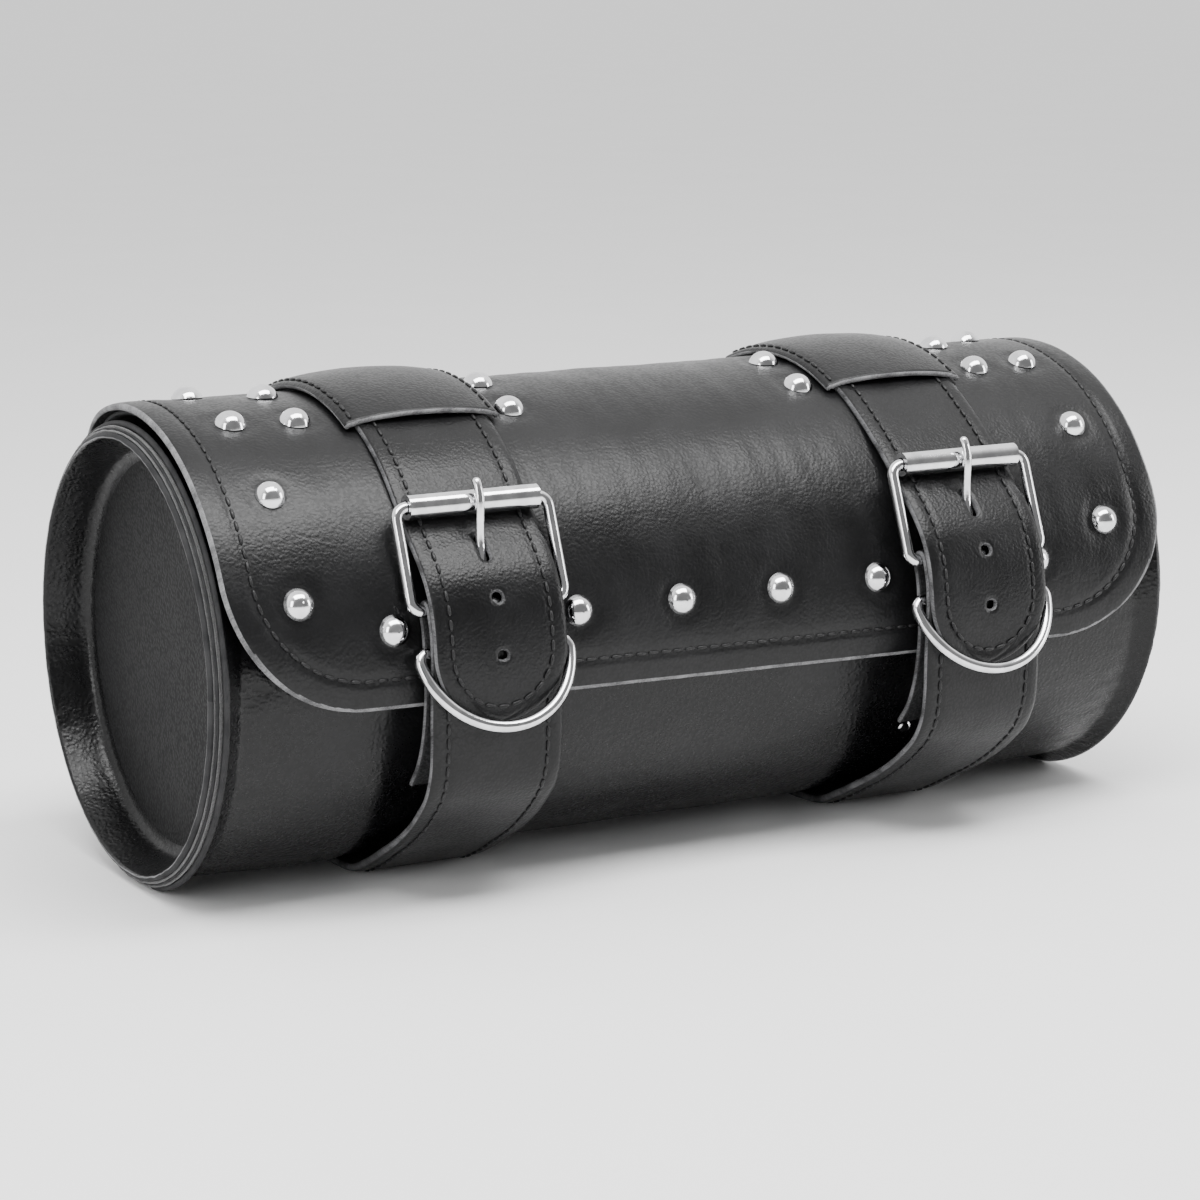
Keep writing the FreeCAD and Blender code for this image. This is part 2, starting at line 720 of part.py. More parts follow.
def make_buckle(name, side):
    """A roller buckle: its wire frame, the roller on its far bar and the prong on its heel bar."""
    place = (f"{side} * sizes.belt_offset", heel_depth(side), "sizes.heel_height")
    lean = FreeCAD.Rotation(FreeCAD.Vector(1, 0, 0), frame_angle())
    frame = pipe_body(f"buckle_frame_{name}", draw_frame_path)
    frame.Placement.Rotation = lean
    add_node(frame, f"buckle_frame_{name}", *place)

    outer = doc.addObject("Part::Cylinder", f"roller_outside_{name}")
    bind(outer, Radius="sizes.roller_size / 2", Height="sizes.roller_along")
    inner = doc.addObject("Part::Cylinder", f"roller_inside_{name}")
    bind(inner, Radius="sizes.roller_bore / 2", Height="sizes.roller_along")
    roller = boolean("Part::Cut", f"buckle_roller_{name}", outer, inner)
    roller.Placement.Rotation = FreeCAD.Rotation(FreeCAD.Vector(0, 1, 0), 90)
    along = f"{side} * sizes.belt_offset - sizes.roller_along / 2"
    depth = f"{heel_depth(side)} + sizes.heel_depth - sizes.roller_depth"
    add_node(roller, f"buckle_roller_{name}", along, depth, "sizes.roller_height")

    add_shape(f"buckle_prong_{name}", prong_shape(), *place, turn=frame_angle())


def prong_shape():
    """A prong in the buckle's own frame: an eye round the heel bar and a bent, round-ended stem."""
    radius = size("prong_size") / 2
    width = size("prong_eye_width")
    start = FreeCAD.Vector(-width / 2, 0, 0)
    across = FreeCAD.Vector(1, 0, 0)
    hole = Part.makeCylinder(size("fold_radius"), width, start, across)
    eye = Part.makeCylinder(size("prong_eye"), width, start, across)
    spline = Part.BSplineCurve()
    spline.interpolate([FreeCAD.Vector(0, up, out) for up, out in PRONG_LINE])
    circle = Part.Circle(FreeCAD.Vector(0, *PRONG_LINE[0]), FreeCAD.Vector(0, 1, 0), radius)
    stem = Part.Wire(spline.toShape()).makePipeShell([Part.Wire(circle.toShape())], True, False)
    tip = Part.makeSphere(radius, FreeCAD.Vector(0, *PRONG_LINE[-1]))
    return eye.fuse([stem, tip]).cut(hole).removeSplitter()


def make_ring(name, side):
    """A D-ring whose bar lies in the fold of the chape and whose bow hangs in front of the tongue."""
    ring = pipe_body(f"d_ring_{name}", draw_ring_path)
    ring.Placement.Rotation = FreeCAD.Rotation(FreeCAD.Vector(1, 0, 0), 90 - size("ring_tilt"))
    depth = f"{heel_depth(side)} + sizes.heel_depth - sizes.ring_depth"
    add_node(ring, f"d_ring_{name}", f"{side} * sizes.belt_offset", depth, "sizes.ring_height")


# Studs and rivets


def dome_head(along, angle, radius, across, dome, shank, sink):
    """One domed head on a round surface, with its shank through the leather."""
    ball = (across ** 2 / 4 + dome ** 2) / (2 * dome)
    turn = math.radians(angle)
    outward = FreeCAD.Vector(0, -math.cos(turn), math.sin(turn))
    foot = outward * (radius - across ** 2 / (8 * radius)) + FreeCAD.Vector(along, 0, 0)
    lowest = math.degrees(math.asin((ball - dome) / ball))
    head = Part.makeSphere(ball, foot - outward * (ball - dome), outward, lowest, 90, 360)
    stem = Part.makeCylinder(shank / 2, sink + dome / 2, foot - outward * sink, outward)
    return head.fuse(stem).removeSplitter()


def make_studs():
    """All the lid's studs: equal domes in one group of separate solids."""
    across = size("stud_size")
    sink = 2 * size("lid_layer")
    form = (value_of(LID_OUTER), across, size("stud_dome"), size("stud_shank"), sink)
    heads = [dome_head(side * along, angle, *form) for along, angle in STUDS for _, side in SIDES]
    add_shape("lid_studs", Part.makeCompound(heads), rise="sizes.lid_rise")


def make_rivets():
    """Two small rivets through the barrel behind each belt."""
    spread = size("rivet_spread")
    places = [side * size("belt_offset") + step * spread for _, side in SIDES for step in (-1, 1)]
    across = size("rivet_size")
    sink = size("shell_skin")
    form = (size("shell_radius"), across, size("rivet_dome"), across / 2, sink)
    heads = [dome_head(along, size("rivet_angle"), *form) for along in places]
    add_shape("body_rivets", Part.makeCompound(heads))


# Checks and export


def check_and_export():
    """Stops on any failed object; otherwise writes one file for each sub-part."""
    failed = [item.Label for item in doc.Objects if "Invalid" in item.State or "Error" in item.State]
    for node in nodes:
        if node.Shape.isNull() or not node.Shape.isValid():
            failed.append(node.Label)
    if failed:
        raise RuntimeError(f"these objects failed: {failed}")
    os.makedirs("parts", exist_ok=True)
    for node in nodes:
        node.Shape.exportStep(f"parts/{node.Label}.step")
        bounds = node.Shape.BoundBox
        count = len(node.Shape.Solids)
        print(f"{node.Label:22s} solids {count:2d}  volume {node.Shape.Volume:10.1f}", bounds)
    whole = FreeCAD.BoundBox()
    for node in nodes:
        whole.add(node.Shape.BoundBox)
    print(f"{len(nodes)} sub-parts, whole box", whole)


fill_sheet()
mouth_cutter = make_mouth_cutter()
make_shell(mouth_cutter)
make_liner(mouth_cutter)
make_lid()
make_lid_hem()
for side_name, side_sign in SIDES:
    make_end(side_name, side_sign)
    make_belt_rear(side_name, side_sign)
    make_belt_top(side_name, side_sign)
    make_tongue(side_name, side_sign)
    make_chape(side_name, side_sign)
    make_keeper(side_name, side_sign)
    make_rear_loop(side_name, side_sign)
    make_buckle(side_name, side_sign)
    make_ring(side_name, side_sign)
make_studs()
make_rivets()
doc.recompute()
check_and_export()
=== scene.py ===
import math
from collections import namedtuple

import bmesh
import bpy
import numpy as np
from mathutils import Matrix, Vector, noise


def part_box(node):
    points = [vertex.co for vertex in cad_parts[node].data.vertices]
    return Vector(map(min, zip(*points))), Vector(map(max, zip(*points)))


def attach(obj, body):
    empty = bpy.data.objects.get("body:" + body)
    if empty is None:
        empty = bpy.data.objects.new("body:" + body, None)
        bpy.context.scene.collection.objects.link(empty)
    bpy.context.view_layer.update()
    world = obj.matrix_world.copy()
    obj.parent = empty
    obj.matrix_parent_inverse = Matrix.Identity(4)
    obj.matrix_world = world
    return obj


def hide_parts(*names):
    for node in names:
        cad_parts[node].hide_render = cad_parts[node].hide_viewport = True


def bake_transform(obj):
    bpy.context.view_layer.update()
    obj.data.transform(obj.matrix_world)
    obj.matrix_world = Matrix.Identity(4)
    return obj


# Visual model of the barrel tool bag. Points are worked out in millimetres about the barrel's axis,
# with the same X, Y and Z as the frame, and moved to the frame by to_frame(). A place round the
# barrel is an angle in degrees from the front, level with the axis, over the top towards the back.

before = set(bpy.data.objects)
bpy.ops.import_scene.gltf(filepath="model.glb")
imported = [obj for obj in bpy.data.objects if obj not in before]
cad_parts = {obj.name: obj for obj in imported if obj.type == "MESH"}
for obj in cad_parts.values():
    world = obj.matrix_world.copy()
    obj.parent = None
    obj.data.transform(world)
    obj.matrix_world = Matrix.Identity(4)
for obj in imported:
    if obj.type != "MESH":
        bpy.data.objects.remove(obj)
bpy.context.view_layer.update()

MM = 0.001
FLOOR_GAP = 0.00002  # metres that the lowest leather and thread stay above the floor
SIDES = (("left", -1), ("right", 1))

# Lid
LID_RISE = 1.0
LID_RADIUS = 70.6
HEM_END_ANGLE = 162.0
LID_CORNER = 40.0
RIM_WIDTH = 0.75
LID_SKIN = 1.65
LID_EDGE_ANGLE = -7.3
LID_EDGE_SLOPE = -0.0115  # degrees per millimetre along, because the front edge runs aslant
LID_BACK_HALF = 148.5
HEM_SINK = 4.3  # how much nearer the axis the hem lies
STITCH_INSET = 8.5
LINING_RADIUS = 68.35
LINING_INSET = 2.5

# Barrel
LIP_ALONG = 155.0
LIP_RADIUS = 66.8
GROOVE_ALONG = 149.5
GROOVE_RADIUS = 63.3
BODY_RADIUS = 63.6
SHELL_SKIN = 1.8
SHELL_FLAT_RADIUS = 64.0  # radius by which the barrel's leather is laid out flat
CLOTH_FLAT_RADIUS = 61.0
CLOTH_HALF = 143.2
DISC_ALONG = 145.5
DISC_RADIUS = 56.0
TURNED_FLAT_RADIUS = 60.0
MOUTH_ALONG = 141.0
MOUTH_FRONT = 40.0
MOUTH_BACK = 145.0

# Belts
BELT_WIDTH = 40.0
BELT_SKIN = 2.1
BELT_OVER_LID = LID_RADIUS + 0.05 + BELT_SKIN / 2
CHAPE_SKIN = 1.6
TONGUE_SKIN = 2.0
RIGHT_BULGE = 4.5
BELT_STITCH_INSET = 4.6
HEEL = (-72.14, 20.14)
HEEL_REACH = 2.75
BULGE_RISE = (-66.0, -25.0)
BULGE_FALL = (62.0, 40.0)
TIP_LENGTH = 20.0
SLOT_HALF = 3.0
HOLES = ((22.5, 0.0, 2.0), (6.7, 0.0, 2.0), (34.5, 3.0, 1.8))  # height, half length, radius
BRIDGE_HALF = 24.2
BRIDGE_SEAM = 21.8
BRIDGE_SKIN = 1.65
BRIDGE_LOW = 1.6
BRIDGE_ARCH = 3.7

# Stitches
STITCH_PITCH = 4.0
STITCH_LENGTH = 3.1
STITCH_RADIUS = 0.55
STITCH_RISE = 0.28
STITCH_RING = 6
STITCH_SHAPE = ((-0.5, 0.35), (-0.34, 0.9), (0.0, 1.0), (0.34, 0.9), (0.5, 0.35))

EDGE_ROUND = 0.25  # how far a raw edge bulges, as a share of the leather's thickness

# Camera, in degrees, then millimetres of lens, then metres from the barrel's middle
CAMERA_TURN = -29.19
CAMERA_RISE = 11.39
CAMERA_LENS = 104.82
CAMERA_SHIFT = (-0.00404, 0.00095)
CAMERA_DISTANCE = 1.0609
LAMP_TARGET = (0.0, 0.0, 0.07)
FLOOR_REACH = 60.0

# Studs on each half of the lid: distance from the middle, then angle round the barrel.
STUDS = (
    (134.0, 19.5), (134.0, 46.0), (134.0, 71.5), (134.0, 97.0), (134.0, 117.5), (115.0, 70.5),
    (115.0, 89.0), (49.0, 68.5), (49.0, 85.0), (107.0, 11.5), (50.0, 11.5), (16.5, 11.5),
)

# Middle lines of the belt's runs as (y, z) from the barrel's axis, before the right one's bulge.
TONGUE_LINE = (
    (-32.3, 65.1), (-46.7, 55.6), (-56.4, 45.6), (-62.9, 38.9), (-68.0, 34.2), (-74.1, 26.8),
    (-76.8, 21.2), (-78.8, 12.3), (-79.6, 0.0), (-78.6, -11.1),
)
UNDER_LINE = (
    (12.0, -64.5), (0.0, -64.9), (-13.0, -64.9), (-24.0, -63.9), (-34.0, -59.6), (-43.0, -54.8),
    (-53.8, -48.7),
)
CHAPE_LINE = (
    (-66.0, -39.4), (-72.6, -32.0), (-75.3, -25.6), (-76.2, -19.4), (-76.4, -11.0), (-76.7, 0.0),
    (-77.0, 9.0), (-76.4, 15.0),
)
TAIL_LINE = (
    (-70.6, 15.0), (-71.55, 8.6), (-72.2, 0.0), (-71.4, -9.0), (-69.5, -17.5), (-66.0, -25.0),
    (-62.0, -30.2),
)


def middle_of(node):
    """Middle of a CAD node's box, in metres."""
    low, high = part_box(node)
    return (low + high) / 2


AXIS = middle_of("end_board_left")
BELT_MIDDLE = {name: middle_of(f"belt_top_{name}").x / MM for name, _ in SIDES}


def to_frame(points):
    """Points about the barrel's axis in millimetres, as points of the frame in metres."""
    return np.asarray(points, float) * MM + np.array((0.0, AXIS.y, AXIS.z))


def around(along, radius, angle, rise=0.0):
    """Points round the barrel from arrays of distance along it, radius and angle in degrees."""
    turn = np.radians(angle)
    along, radius, turn = np.broadcast_arrays(along, radius, turn)
    return np.stack([along, -radius * np.cos(turn), radius * np.sin(turn) + rise], axis=-1)


def unit(vectors):
    """Vectors of the same directions and length 1."""
    return vectors / np.maximum(np.linalg.norm(vectors, axis=-1, keepdims=True), 1e-9)


def from_axis(points):
    """Directions straight out from the barrel's axis, at points round it."""
    return unit(points * (0.0, 1.0, 1.0))


def smooth(value, start, end):
    """Eases from 0 at the start to 1 at the end, which may be the lower of the two."""
    share = np.clip((value - start) / (end - start), 0.0, 1.0)
    return share * share * (3 - 2 * share)


def rough(across, up, scale, seed):
    """Smooth random heights from -1 to 1 over a grid, with features about scale millimetres wide."""
    heights = np.empty(across.shape)
    for index in np.ndindex(across.shape):
        place = Vector((across[index] / scale + seed * 17.3, up[index] / scale, seed * 5.1))
        heights[index] = noise.noise(place)
    return heights


def path_through(points, step):
    """Points a step apart along a smooth curve through the given points."""
    points = np.asarray(points, float)
    places = line_lengths(points)
    slopes = np.gradient(points, places, axis=0)
    fine = []
    for index in range(len(points) - 1):
        gap = places[index + 1] - places[index]
        for share in np.linspace(0, 1, 24, endpoint=False):
            keep = 1 - share
            start = points[index] * (1 + 2 * share) + slopes[index] * gap * share
            end = points[index + 1] * (1 + 2 * keep) - slopes[index + 1] * gap * keep
            fine.append(start * keep * keep + end * share * share)
    fine = np.array(fine + [points[-1]])
    lengths = line_lengths(fine)
    count = int(round(lengths[-1] / step))
    even = np.linspace(0, lengths[-1], count + 1)
    return np.stack([np.interp(even, lengths, fine[:, column]) for column in range(2)], axis=1)


def line_lengths(line):
    """Distance along a line of points, at each of them."""
    return np.concatenate([[0], np.cumsum(np.linalg.norm(np.diff(line, axis=0), axis=1))])


# Meshes


def add_object(name, data):
    """An object in the scene from its mesh, lamp or camera."""
    thing = bpy.data.objects.new(name, data)
    bpy.context.scene.collection.objects.link(thing)
    return thing


def make_object(name, points, faces, spots, uv, materials):
    """An object from points in millimetres, faces, a material index and UV places for each face."""
    mesh = bpy.data.meshes.new(name)
    places = to_frame(points)
    places[:, 2] = np.maximum(places[:, 2], FLOOR_GAP)
    mesh.from_pydata(places.tolist(), [], faces)
    for material in materials:
        mesh.materials.append(material)
    mesh.polygons.foreach_set("material_index", spots)
    layer = mesh.uv_layers.new(name="UVMap")
    layer.data.foreach_set("uv", (np.asarray(uv, float) * MM).ravel())
    mesh.polygons.foreach_set("use_smooth", [True] * len(faces))
    mesh.update()
    return add_object(name, mesh)


def fanned(halves, places, shares):
    """Grids of across and along, from each row's half width and place and shares of the half width."""
    across = halves[:, None] * shares
    return across, places[:, None] + 0 * across


def cell_middles(values):
    """Values in the middles of a grid's cells."""
    return (values[:-1, :-1] + values[1:, 1:]) / 2


def grid_normals(grid):
    """Unit normals of a grid of points, along rows crossed with along columns."""
    down = np.gradient(grid, axis=0)
    across = np.gradient(grid, axis=1)
    return unit(np.cross(across, down))


def slab(name, grid, skin, flat, materials, keep=None, wrap=False, flip=1, normals=None, rim=None):
    """A leather piece from a grid of outer points: outer face, inner face and a rounded raw edge.

    skin is its thickness, flat gives each point's place on the flat leather, keep says which cells
    are there, and wrap joins the last row to the first. The materials are outer, edge and inner. rim
    says which outer cells show the edge's material, where the leather is cut at a slant."""
    rows, columns = grid.shape[:2]
    if keep is None:
        keep = np.ones((rows if wrap else rows - 1, columns - 1), bool)
    if normals is None:
        normals = wrapped_normals(grid, wrap) * flip
    skins = np.broadcast_to(np.asarray(skin, float), (rows, columns))[..., None]
    outer = grid.reshape(-1, 3)
    inner = (grid - normals * skins).reshape(-1, 3)
    faces, spots, uv, edge = cell_faces(keep, flat, flip, rim)
    middles, rounded = edge_middles(edge, outer, inner, normals.reshape(-1, 3))
    count = len(outer)
    for (start, end), (low, high) in edge.items():
        faces.append([end, start, middles[start], middles[end]])
        faces.append([middles[end], middles[start], count + start, count + end])
        uv.extend((high, low, low + 0.5, high + 0.5))
        uv.extend((high + 0.5, low + 0.5, low + 1.0, high + 1.0))
        spots.extend((1, 1))
    points = np.vstack([outer, inner, *rounded])
    return make_clean(make_object(name, points, faces, spots, uv, materials))


def cell_faces(keep, flat, flip, rim):
    """Outer and inner faces of a slab's cells, their materials and UV places, and the open edge."""
    rows, columns = flat.shape[:2]
    order = (0, 1, 2, 3) if flip > 0 else (3, 2, 1, 0)
    faces, spots, uv, borders = [], [], [], {}
    for row, column in np.argwhere(keep):
        cell = ((row, column), (row, column + 1), (row + 1, column + 1), (row + 1, column))
        corners = [cell[index] for index in order]
        ids = [down % rows * columns + across for down, across in corners]
        places = [flat_place(flat, *corner) for corner in corners]
        faces.append(ids)
        faces.append([rows * columns + index for index in reversed(ids)])
        uv.extend(places)
        uv.extend(reversed(places))
        spots.extend((0 if rim is None or not rim[row, column] else 1, 2))
        for step in range(4):
            following = (step + 1) % 4
            borders[(ids[step], ids[following])] = (places[step], places[following])
    edge = {pair: ends for pair, ends in borders.items() if pair[::-1] not in borders}
    return faces, spots, uv, edge


def flat_place(flat, row, column):
    """A grid point's place on the flat leather, which goes on past the last row of a wrapped grid."""
    place = flat[row % len(flat), column].copy()
    if row >= len(flat):
        place[1] += 2 * flat[-1, column, 1] - flat[-2, column, 1] - flat[0, column, 1]
    return place


def edge_middles(edge, outer, inner, normals):
    """Numbers and places of the points that round off a slab's open edge."""
    outward = border_directions(outer, edge, normals)
    numbers, points = {}, []
    for pair in edge:
        for point in pair:
            if point not in numbers:
                numbers[point] = 2 * len(outer) + len(points)
                thickness = np.linalg.norm(outer[point] - inner[point])
                bulge = outward[point] * thickness * EDGE_ROUND
                points.append((outer[point] + inner[point]) / 2 + bulge)
    return numbers, points


def wrapped_normals(grid, wrap):
    """Normals of a grid whose last row may meet its first."""
    if not wrap:
        return grid_normals(grid)
    return grid_normals(np.concatenate([grid[-2:], grid, grid[:2]]))[2:-2]


def border_directions(points, borders, normals):
    """At each border point, the direction that leads out of the leather along its own surface."""
    outward = {}
    for start, end in borders:
        side = unit(np.cross(points[end] - points[start], normals[start]))
        for point in (start, end):
            outward[point] = outward.get(point, 0) + side
    return {point: unit(side) for point, side in outward.items()}


def make_clean(thing):
    """Drops loose points, joins points in the same place and turns every face outwards."""
    shape = bmesh.new()
    shape.from_mesh(thing.data)
    loose = [point for point in shape.verts if not point.link_faces]
    bmesh.ops.delete(shape, geom=loose, context="VERTS")
    bmesh.ops.remove_doubles(shape, verts=shape.verts, dist=0.00001)
    bmesh.ops.recalc_face_normals(shape, faces=shape.faces)
    shape.to_mesh(thing.data)
    shape.free()
    return thing


def stitches(name, runs):
    """Thread stitches along runs of (points, normals), as small capsules sunk in the leather."""
    points, faces = [], []
    for line, normals in runs:
        lengths = line_lengths(line)
        count = int(lengths[-1] // STITCH_PITCH)
        for number in range(count):
            place = (number + 0.5) * lengths[-1] / count
            start, end = (sample(line, lengths, place + half * STITCH_LENGTH) for half in (-0.5, 0.5))
            normal = sample(normals, lengths, place)
            along = unit(end - start)
            side = unit(np.cross(normal, along))
            middle = (start + end) / 2 + normal * STITCH_RISE
            add_capsule(points, faces, middle, along, side, np.cross(along, side))
    uv = np.zeros((sum(len(face) for face in faces), 2))
    return make_object(name, np.array(points), faces, [0] * len(faces), uv, [LOOKS["thread"]])


def sample(values, lengths, place):
    """Values along a line, at a distance from its start."""
    return np.array([np.interp(place, lengths, values[:, column]) for column in range(values.shape[1])])


def add_capsule(points, faces, middle, along, side, up):
    """Adds one stitch to lists of points and faces."""
    first = len(points)
    for share, width in STITCH_SHAPE:
        for step in range(STITCH_RING):
            turn = 2 * math.pi * step / STITCH_RING
            offset = side * math.cos(turn) + up * math.sin(turn) * 0.8
            points.append(middle + along * share * STITCH_LENGTH + offset * width * STITCH_RADIUS)
    last = len(points) - STITCH_RING
    for low in range(first, last, STITCH_RING):
        high = low + STITCH_RING
        for step in range(STITCH_RING):
            following = (step + 1) % STITCH_RING
            faces.append([low + step, low + following, high + following, high + step])
    faces.append([first + step for step in reversed(range(STITCH_RING))])
    faces.append([last + step for step in range(STITCH_RING)])


def facing(surface, flat, step):
    """Points of a surface at flat places, and its directions outwards there."""
    points = surface(flat)
    across = surface(flat + (step, 0)) - points
    along = surface(flat + (0, step)) - points
    return points, unit(np.cross(across, along))


def lathe(name, side, loop, spots, materials, ripple, steps=288):
    """A piece turned about the barrel's axis from a closed loop of (along, radius) points.

    spots gives the material of each stretch of the loop, and ripple shifts its points."""
    loop = np.asarray(loop, float)
    columns = len(loop)
    angle = np.repeat(np.linspace(0, 360, steps, endpoint=False)[:, None], columns, axis=1)
    along, radius = ripple(loop[:, 0] + 0 * angle, loop[:, 1] + 0 * angle, angle)
    points = around(side * along, radius, angle).reshape(-1, 3)
    lengths = line_lengths(np.vstack([loop, loop[:1]]))
    arc_step = math.radians(360 / steps) * TURNED_FLAT_RADIUS
    faces, uv = [], []
    for row, column in np.ndindex(steps, columns):
        following, beside = (row + 1) % steps, (column + 1) % columns
        corners = ((row, column), (row, beside), (following, beside), (following, column))
        faces.append([down * columns + across for down, across in corners])
        low, high = lengths[column:column + 2]
        bottom, top = row * arc_step, (row + 1) * arc_step
        if max(loop[column, 1], loop[beside, 1]) < DISC_RADIUS:
            uv.extend(points[faces[-1], 1:])
        else:
            uv.extend(((low, bottom), (high, bottom), (high, top), (low, top)))
    return make_clean(make_object(name, points, faces, list(spots) * steps, uv, materials))


# Surface looks


def shader_node(material, kind, inputs=None, **settings):
    """Adds a node and fills its inputs with numbers or with other nodes' outputs."""
    made = material.node_tree.nodes.new(kind)
    for name, value in settings.items():
        setattr(made, name, value)
    for name, value in (inputs or {}).items():
        if isinstance(value, bpy.types.NodeSocket):
            material.node_tree.links.new(value, made.inputs[name])
        else:
            made.inputs[name].default_value = value
    return made


def new_material(name, **constants):
    """A material with its shader, whose constant inputs are given by name with _ for spaces."""
    material = bpy.data.materials.new(name)
    material.use_nodes = True
    material.node_tree.nodes.clear()
    shader = shader_node(material, "ShaderNodeBsdfPrincipled")
    for key, value in constants.items():
        shader.inputs[key.replace("_", " ")].default_value = value
    shader_node(material, "ShaderNodeOutputMaterial", {"Surface": shader.outputs["BSDF"]})
    return material, shader


def millimetres(material, solid=False, stretch=(1.0, 1.0, 1.0)):
    """Texture places in millimetres: on the flat leather, or in the solid for CAD nodes."""
    place = shader_node(material, "ShaderNodeTexCoord").outputs["Object" if solid else "UV"]
    scale = tuple(value / MM for value in stretch)
    return shader_node(material, "ShaderNodeMapping", {"Vector": place, "Scale": scale}).outputs["Vector"]


def noise_at(material, place, size, detail=3.0, roughness=0.55):
    """Noise with features about size millimetres wide."""
    inputs = {"Vector": place, "Scale": 1 / size, "Detail": detail, "Roughness": roughness}
    return shader_node(material, "ShaderNodeTexNoise", inputs).outputs["Fac"]


def spread(material, value, low, high, to_low, to_high):
    """Maps a value's range onto another, eased at both ends."""
    inputs = {"Value": value, "From Min": low, "From Max": high, "To Min": to_low, "To Max": to_high}
    made = shader_node(material, "ShaderNodeMapRange", inputs, interpolation_type="SMOOTHSTEP")
    return made.outputs["Result"]


def blend_colours(material, share, first, second):
    """A colour between two, by share."""
    ramp = shader_node(material, "ShaderNodeValToRGB", {"Fac": share})
    ramp.color_ramp.elements[0].color = (*first, 1)
    ramp.color_ramp.elements[1].color = (*second, 1)
    return ramp.outputs["Color"]


def toned(material, value, low, high, first, second):
    """A colour that goes from one to the other as a value goes from low to high."""
    return blend_colours(material, spread(material, value, low, high, 0.0, 1.0), first, second)


def combine(material, *weighted):
    """Sum of values, each with its weight."""
    total = 0.0
    for value, weight in weighted:
        inputs = {0: value, 1: weight, 2: total}
        total = shader_node(material, "ShaderNodeMath", inputs, operation="MULTIPLY_ADD").outputs[0]
    return total


def wear(material, shader, colour, roughness, height=None, depth=0.0):
    """Connects a colour, a roughness spread from a value, and a bump of up to depth millimetres."""
    link = material.node_tree.links.new
    link(colour, shader.inputs["Base Color"])
    link(spread(material, *roughness), shader.inputs["Roughness"])
    if height is not None:
        bump = shader_node(material, "ShaderNodeBump", {"Height": height, "Distance": depth * MM})
        link(bump.outputs["Normal"], shader.inputs["Normal"])
    return material


def leather(name, dark, light, gloss, grain, depth, crease=14.0, crease_weight=0.2, coat=0.0,
            specular=0.25):
    """Grained leather: pebbles, soft swells, fine pores, crease lines and a sheen that varies."""
    material, shader = new_material(name, Coat_Weight=coat, Coat_Roughness=0.28, Specular_IOR_Level=specular)
    place = millimetres(material)
    drift = shader_node(material, "ShaderNodeTexNoise", {"Vector": place, "Scale": 1 / (grain * 3)})
    inputs = {0: drift.outputs["Color"], 1: (grain, grain, 0.0), 2: place}
    warped = shader_node(material, "ShaderNodeVectorMath", inputs, operation="MULTIPLY_ADD").outputs["Vector"]
    inputs = {"Vector": warped, "Scale": 1 / grain, "Smoothness": 0.55}
    pebbles = shader_node(material, "ShaderNodeTexVoronoi", inputs, feature="SMOOTH_F1")
    inputs = {"Vector": warped, "Scale": 1 / crease}
    lines = shader_node(material, "ShaderNodeTexVoronoi", inputs, feature="DISTANCE_TO_EDGE")
    creases = spread(material, lines.outputs["Distance"], 0.0, 0.05, 0.0, 1.0)
    swells = noise_at(material, place, 11.0)
    pores = noise_at(material, place, 0.45, 2.0)
    patches = noise_at(material, place, 34.0, 4.0)
    rounded = spread(material, pebbles.outputs["Distance"], 0.15, 0.85, 1.0, 0.0)
    height = combine(material, (rounded, 0.8), (swells, 0.6), (pores, 0.3), (creases, crease_weight))
    tone = combine(material, (patches, 0.6), (swells, 0.25), (rounded, 0.15))
    sheen = combine(material, (patches, 0.5), (pores, 0.25), (rounded, -0.18))
    colour = toned(material, tone, 0.38, 0.66, dark, light)
    return wear(material, shader, colour, (sheen, 0.1, 0.5, *gloss), height, depth)


def raw_edge(name, first, second):
    """Cut leather edge: pale fibres in fine layers."""
    material, shader = new_material(name, Specular_IOR_Level=0.25)
    place = millimetres(material)
    fibres = noise_at(material, place, 0.5, 4.0, 0.7)
    stains = noise_at(material, place, 7.0)
    colour = toned(material, combine(material, (fibres, 0.5), (stains, 0.5)), 0.35, 0.65, first, second)
    return wear(material, shader, colour, (fibres, 0.3, 0.7, 0.6, 0.9), fibres, 0.15)


def felt(name, first, second, solid=False):
    """Matted fibres with no shine."""
    material, shader = new_material(name, Specular_IOR_Level=0.15, Sheen_Weight=0.4, Sheen_Roughness=0.6)
    place = millimetres(material, solid)
    fibres = noise_at(material, place, 0.7, 6.0, 0.75)
    clumps = noise_at(material, place, 4.0)
    colour = toned(material, combine(material, (fibres, 0.7), (clumps, 0.3)), 0.35, 0.65, first, second)
    return wear(material, shader, colour, (fibres, 0.3, 0.7, 0.85, 1.0), fibres, 0.4)


def woven(name, first, second, thread=0.55):
    """Plain-woven cotton lining."""
    material, shader = new_material(name, Specular_IOR_Level=0.2, Sheen_Weight=0.25, Sheen_Roughness=0.5)
    place = millimetres(material)
    waves = []
    for direction in ("X", "Y"):
        inputs = {"Vector": place, "Scale": 1 / thread / 6.3, "Distortion": 0.4, "Detail": 1.0}
        wave = shader_node(material, "ShaderNodeTexWave", inputs, bands_direction=direction)
        waves.append((wave.outputs["Fac"], 0.5))
    weave = combine(material, *waves)
    dust = noise_at(material, place, 9.0)
    colour = toned(material, combine(material, (weave, 0.5), (dust, 0.5)), 0.2, 0.8, first, second)
    return wear(material, shader, colour, (weave, 0.0, 1.0, 0.95, 0.75), weave, 0.15)


